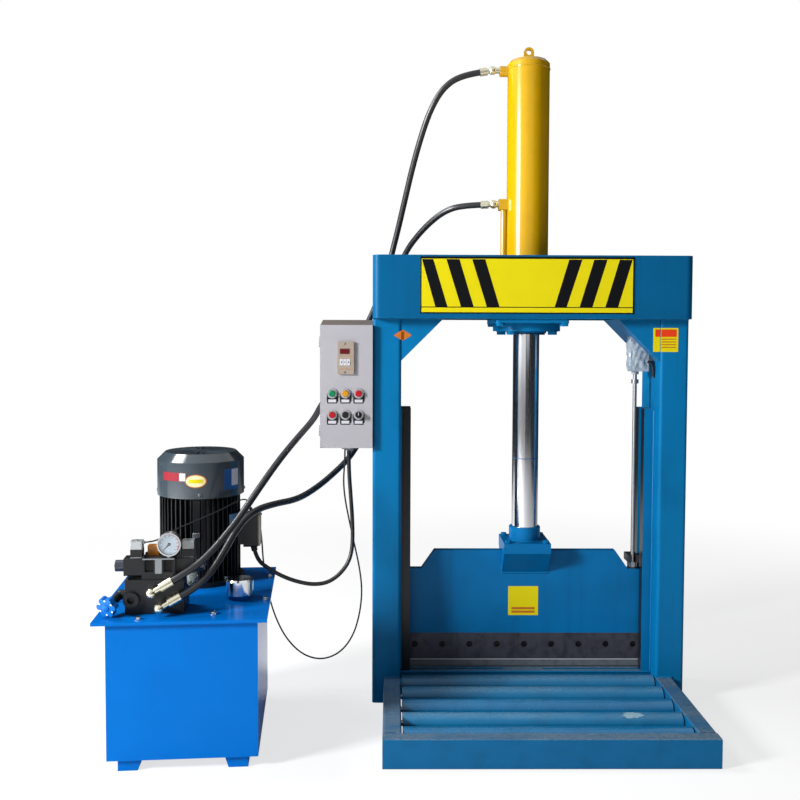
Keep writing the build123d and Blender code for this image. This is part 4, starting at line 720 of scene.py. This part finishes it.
build("terminal_screws", bolt_steel, "machined_steel", "frame",
      *[on_unit(seat(lathe([(3.6, 0), (3.6, 1.4), (2.6, 2.4), (0.1, 2.5)], 18), (174, 175 + y, 535 + z),
                     RIGHT)) for y in (-30, 30) for z in (-37, 37)])

# %% Lid
build("lid_bolts", bright_bolt, "machined_steel", "frame",
      *[on_unit(seat(hexagon_bolt(13, 7), (u, v, LID_TOP), TOP)) for u, v in (
          (-110, -224), (74, -190), (200, -64), (200, 185), (-200, -64), (-200, 240), (60, 240))])
build("filter_cup", cup_clear, "switch_plastic", "frame",
      on_unit(seat(lathe([(4, 0), (11, 1), (14, 6), (14.5, 34), (12, 37), (5, 38)], 32), (17, -158, 457))))
build("filter_cup_neck", black_plastic, "black_plastic", "frame",
      on_unit(seat(lathe([(10, 0), (16, 1), (16, 9), (9, 11)], 28), (17, -158, 495))),
      on_unit(seat(lathe([(6, 0), (6, 19)], 20), (-1, -158, 499), RIGHT)))

# %% Valve gear
build("valve_middle_plate", valve_plate, "machined_steel", "frame",
      on_unit(seat(slab(17, 37, 0.6, 1, 0.2), (VALVE_X, VALVE_FRONT, 509.5), FRONT)))
build("valve_top_strip", valve_plate, "machined_steel", "frame",
      on_unit(seat(slab(80, 3.5, 0.4, 0.5, 0.1), (VALVE_X, VALVE_FRONT, 529), FRONT)))
build("valve_screws", screw_black, "dark_steel", "frame",
      *[on_unit(seat(socket_screw(5, 5), (u, v, VALVE_TOP), TOP)) for u in (-104, -30) for v in (-164, -118)])
build("manifold_screws", screw_black, "dark_steel", "frame",
      *[on_unit(seat(socket_screw(6, 5), (u, v, MANIFOLD_TOP), TOP))
        for u in (-144, -8) for v in (-168, -98)])
build("amber_cap", amber_plastic, "switch_plastic", "frame",
      on_unit(seat(slab(30, 22, 26, 3, 1.5), (-86, -124, VALVE_TOP), TOP)))
build("plug_bases", black_plastic, "black_plastic", "frame",
      *[on_unit(seat(slab(30, 20, 0.5, 0.6, 0.1), (u, -156, PLUG_Z), FRONT)) for u in (-126, 6)],
      *[on_unit(seat(slab(30, 20, 0.5, 0.6, 0.1), (u, -141, PLUG_Z), RIGHT)) for u in (-111, 21)])
build("plug_screws", bolt_steel, "machined_steel", "frame",
      *[on_unit(seat(lathe([(3.4, 0), (3.4, 1.6), (0.1, 1.7)], 18), (u, -141, 572), TOP))
        for u in (-126, 6)])
gauge = (-40, -172, 566)


def on_gauge(shape, back):
    """A shape that faces forward, that many millimetres behind the gauge's front."""
    return on_unit(seat(shape, (gauge[0], gauge[1] + back, gauge[2]), FRONT))


build("gauge_dial", dial_white, "relay_beige", "frame",
      on_gauge(lathe([(26.6, 0), (26.6, 0.5), (2.4, 0.5)], 48), 6.9))
ticks = []
for turn_angle in np.radians(np.arange(-45, 226, 27)):
    c, n = math.cos(turn_angle), math.sin(turn_angle)
    axes = np.array(((c, n), (-n, c)))
    ticks.append(on_gauge(prism(np.array(((18.5, -0.5), (23.5, -0.5), (23.5, 0.5), (18.5, 0.5))) @ axes,
                                0.2), 6.35))
build("gauge_ticks", print_black, "black_plastic", "frame", *ticks)
ARC_STEPS, ARC_RADII = 30, (25.8, 23.8)
RIM = 2 * ARC_STEPS
sweep = np.radians(np.linspace(-40, 90, ARC_STEPS))
outer, inner = (radius * np.stack((np.cos(sweep), np.sin(sweep)), 1) for radius in ARC_RADII)
arc = np.vstack((outer, inner[::-1]))
below = [[i, i + 1, RIM - 2 - i, RIM - 1 - i] for i in range(ARC_STEPS - 1)]
above = [[RIM + i, 2 * RIM - 1 - i, 2 * RIM - 2 - i, RIM + 1 + i] for i in range(ARC_STEPS - 1)]
walls = [[i, (i + 1) % RIM, RIM + (i + 1) % RIM, RIM + i] for i in range(RIM)]
build("gauge_red_arc", print_red, "red_plastic", "frame",
      on_gauge((np.vstack((np.c_[arc, np.zeros(RIM)], np.c_[arc, np.full(RIM, 0.2)])), below + above + walls),
               6.35))
build("gauge_rim", bezel_metal, "bezel_metal", "frame", on_gauge(washer_ring(30.3, 27, 1.4), 0))
build("gauge_glass", glass, "switch_plastic", "frame", on_gauge(lathe([(26.9, 0), (26.9, 0.8)], 48), 1.2))
knob_axis = np.array((-0.28797484, -0.92450066, -0.24973791))
knob_side = np.cross(knob_axis, (0, 0, 1))
knob_side /= np.linalg.norm(knob_side)
knob_axes = np.stack((knob_side, np.cross(knob_axis, knob_side), knob_axis))
KNOB_SEAT, KNOB_REACH = (-1115.7132, -479.7187, 432.5), 68.3
knob_face = np.array(KNOB_SEAT) + knob_axis * KNOB_REACH
build("knob_dots", dial_white, "relay_beige", "relief_knob",
      *[seat(lathe([(2.6, 0), (2.6, 0.3), (0.1, 0.4)], 16),
             knob_face + (knob_side * math.cos(t) + knob_axes[1] * math.sin(t)) * 19.5, knob_axes)
        for t in np.arange(6) * np.pi / 3 + 0.52])
build("knob_hub", knob_blue, "blue_plastic", "relief_knob",
      seat(lathe([(9, 0), (9, 1.5), (7.5, 2.4), (0.1, 2.6)], 28), knob_face, knob_axes))
print("pieces", len(made_pieces))

# %% [markdown]
# ## Hoses and cables
# Each is a smooth curve drawn out by the route's control points, with a round section. A route gives the
# diameter and the length, in millimetres, the stiffness, the material and the points.

# %% Cords
routes = {
    "hose_a": (18.5, 2000, "stiff", hose_rubber, (
        (-974, -514, 477), (-920, -500, 507), (-872, -468, 552), (-823, -415, 613), (-779, -345, 682),
        (-734, -250, 750), (-692, -145, 803), (-648, -45, 853), (-634, 45, 889), (-592, 112, 950),
        (-547, 142, 1028), (-517, 158, 1098), (-482, 168, 1166), (-453, 174, 1235), (-430, 172, 1305),
        (-412, 162, 1378), (-394, 145, 1448), (-374, 118, 1533), (-350, 85, 1634), (-326, 55, 1718),
        (-299, 30, 1795), (-262, 12, 1859),
        (-208, 2, 1896), (-148, 0, 1905))),
    "hose_b": (18.5, 1800, "stiff", hose_rubber, (
        (-953, -514, 437), (-913, -500, 458), (-877, -470, 495), (-851, -425, 543), (-825, -375, 594),
        (-790, -315, 624), (-743, -250, 630), (-688, -175, 629), (-642, -95, 647), (-592, -10, 680),
        (-538, 70, 728), (-492, 125, 812), (-461, 158, 939), (-440, 176, 1088), (-418, 180, 1222),
        (-395, 170, 1312), (-368, 150, 1378), (-334, 112, 1422), (-295, 76, 1461), (-252, 40, 1491),
        (-204, 12, 1505), (-142, 0, 1506))),
    "motor_cable": (12, 683, "medium", cable_rubber, (
        (-543, -50, 759), (-543, -50, 701), (-537, -55, 623), (-531, -62, 545), (-530, -72, 468),
        (-541, -82, 423), (-567, -92, 389), (-602, -102, 366), (-643, -112, 362), (-688, -122, 372),
        (-735, -134, 392), (-776, -143, 419), (-807, -148, 444), (-815, -149, 474))),
    "signal_cable": (5, 1320, "medium", cable_rubber, (
        (-556, -20, 759), (-557, -20, 715), (-561, -20, 663), (-557, -20, 610), (-544, -18, 542),
        (-528, -14, 466), (-512, -10, 393), (-503, -6, 319), (-510, -2, 244), (-531, 2, 170),
        (-572, 6, 115), (-631, 10, 91), (-691, 14, 107), (-740, 17, 155), (-772, 20, 215),
        (-793, 22, 278), (-805, 24, 340), (-814, 24, 404), (-816, 14, 466), (-820, 2, 520),
        (-823, -18, 550), (-821, -45, 560), (-818, -78, 560))),
    "valve_wire": (4, 410, "medium", cable_rubber, (
        (-826, -152, 600), (-828, -158, 619), (-841, -186, 634), (-865, -235, 627), (-905, -277, 610),
        (-947, -308, 595), (-986, -347, 583), (-1012, -390, 574), (-1023, -427, 568), (-1038, -454, 566),
        (-1055, -462, 566))),
}
for name, (width, length, stiffness, material, points) in routes.items():
    data = bpy.data.curves.new(name + "_line", "CURVE")
    data.dimensions = "3D"
    data.bevel_depth = width / 2000
    data.bevel_resolution = 6
    data.resolution_u = 10
    data.use_fill_caps = True
    line = data.splines.new("NURBS")
    line.points.add(len(points) - 1)
    for point, place in zip(line.points, points):
        point.co = (*[value / 1000 for value in place], 1)
    line.order_u = 3
    line.use_endpoint_u = True
    data.materials.append(material)
    piece = bpy.data.objects.new(name + "_sheath", data)
    bpy.context.collection.objects.link(piece)
    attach(piece, "frame")
    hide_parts(name)
print("cords", len(routes))

# %% [markdown]
# ## Floor and light
# A pale floor keeps the shadow, the background is white to the camera and in reflections, and the light
# is a soft lamp far to the left, a weaker one above and a faint one in front. The floor glows more with its
# distance, so that its far edge can't be seen.

# %% Stage
NEAR_GLOW, FAR_GLOW = 0.72, 1.0
floor_mesh = bpy.data.meshes.new("floor")
floor_mesh.from_pydata([(-20, -20, 0), (20, -20, 0), (20, 20, 0), (-20, 20, 0)], [], [(0, 1, 2, 3)])
floor = bpy.data.objects.new("floor", floor_mesh)
bpy.context.collection.objects.link(floor)
pale = surface("pale_floor", "ffffff", 0.9, gloss=0.0)
floor_mesh.materials.append(pale)
shading = pale.node_tree
eye = add(shading, "ShaderNodeLightPath").outputs["Is Camera Ray"]
spot = add(shading, "ShaderNodeTexCoord").outputs["Object"]
distance = add(shading, "ShaderNodeVectorMath", {"operation": "LENGTH"}, i0=spot).outputs["Value"]
rise = maths(shading, "MULTIPLY", ramp(shading, distance, 1.3, 3.4), FAR_GLOW - NEAR_GLOW)
far_off = maths(shading, "ADD", NEAR_GLOW, rise)
glow = add(shading, "ShaderNodeEmission", None, Color=(1, 1, 1, 1), Strength=1.0)
soften = add(shading, "ShaderNodeMixShader", None, i0=maths(shading, "MULTIPLY", eye, far_off),
             i1=shading.nodes["Principled BSDF"].outputs[0], i2=glow.outputs[0])
shading.links.new(soften.outputs[0], shading.nodes["Material Output"].inputs[0])

world = bpy.data.worlds.new("studio")
bpy.context.scene.world = world
world.use_nodes = True
tree = world.node_tree
path = add(tree, "ShaderNodeLightPath")
seen = maths(tree, "MAXIMUM", path.outputs["Is Camera Ray"],
             maths(tree, "MAXIMUM", path.outputs["Is Glossy Ray"], path.outputs["Is Transmission Ray"]))
soft = add(tree, "ShaderNodeBackground", None, Color=linear("f0f2f4"), Strength=0.16)
white = add(tree, "ShaderNodeBackground", None, Color=(1, 1, 1, 1), Strength=1.0)
mix = add(tree, "ShaderNodeMixShader", None, i0=seen, i1=soft.outputs[0], i2=white.outputs[0])
tree.links.new(mix.outputs[0], tree.nodes["World Output"].inputs[0])


def lamp(name, place, target, size, power):
    """A square area lamp at place, in metres, aimed at target."""
    data = bpy.data.lights.new(name, "AREA")
    data.size = size
    data.energy = power
    made = bpy.data.objects.new(name, data)
    bpy.context.collection.objects.link(made)
    made.location = place
    aim = np.array(target, float) - np.array(place, float)
    made.rotation_mode = "QUATERNION"
    made.rotation_quaternion = Vector(aim).to_track_quat("-Z", "Y")
    return made


lamp("key_lamp", (-4.5, -2.6, 2.3), (-0.3, 0, 0.8), 0.9, 420)
lamp("top_lamp", (-2.6, 0.2, 3.3), (-0.6, -0.1, 0.6), 1.0, 70)
lamp("fill_lamp", (0.6, -4.8, 2.2), (-0.2, 0, 0.9), 2.5, 12)

# %% [markdown]
# Dark flags stand on both sides of the press, behind it and in front of it. Only reflections see them: they
# give the chrome rod and the enamel of the cylinder their dark edges.

# %% Flags
flag_cloth = surface("flag_cloth", "2c2e33", 0.9, gloss=0.0)
for name, corners in {
    "back_flag": ((-5, 3.5, -0.5), (5, 3.5, -0.5), (5, 3.5, 4.5), (-5, 3.5, 4.5)),
    "right_flag": ((3.6, -5.5, -0.5), (3.6, 3.5, -0.5), (3.6, 3.5, 4.5), (3.6, -5.5, 4.5)),
    "left_flag": ((-4.4, -0.4, -0.5), (-4.4, 3.5, -0.5), (-4.4, 3.5, 4.5), (-4.4, -0.4, 4.5)),
    "front_flag": ((-1.0, -5.6, -0.5), (3.6, -5.6, -0.5), (3.6, -5.6, 4.5), (-1.0, -5.6, 4.5)),
}.items():
    flag_mesh = bpy.data.meshes.new(name)
    flag_mesh.from_pydata(corners, [], [(0, 1, 2, 3)])
    flag_mesh.materials.append(flag_cloth)
    flag = bpy.data.objects.new(name, flag_mesh)
    bpy.context.collection.objects.link(flag)
    for sight in ("visible_camera", "visible_diffuse", "visible_shadow", "visible_transmission"):
        setattr(flag, sight, False)
bpy.context.scene.view_settings.view_transform = "Standard"
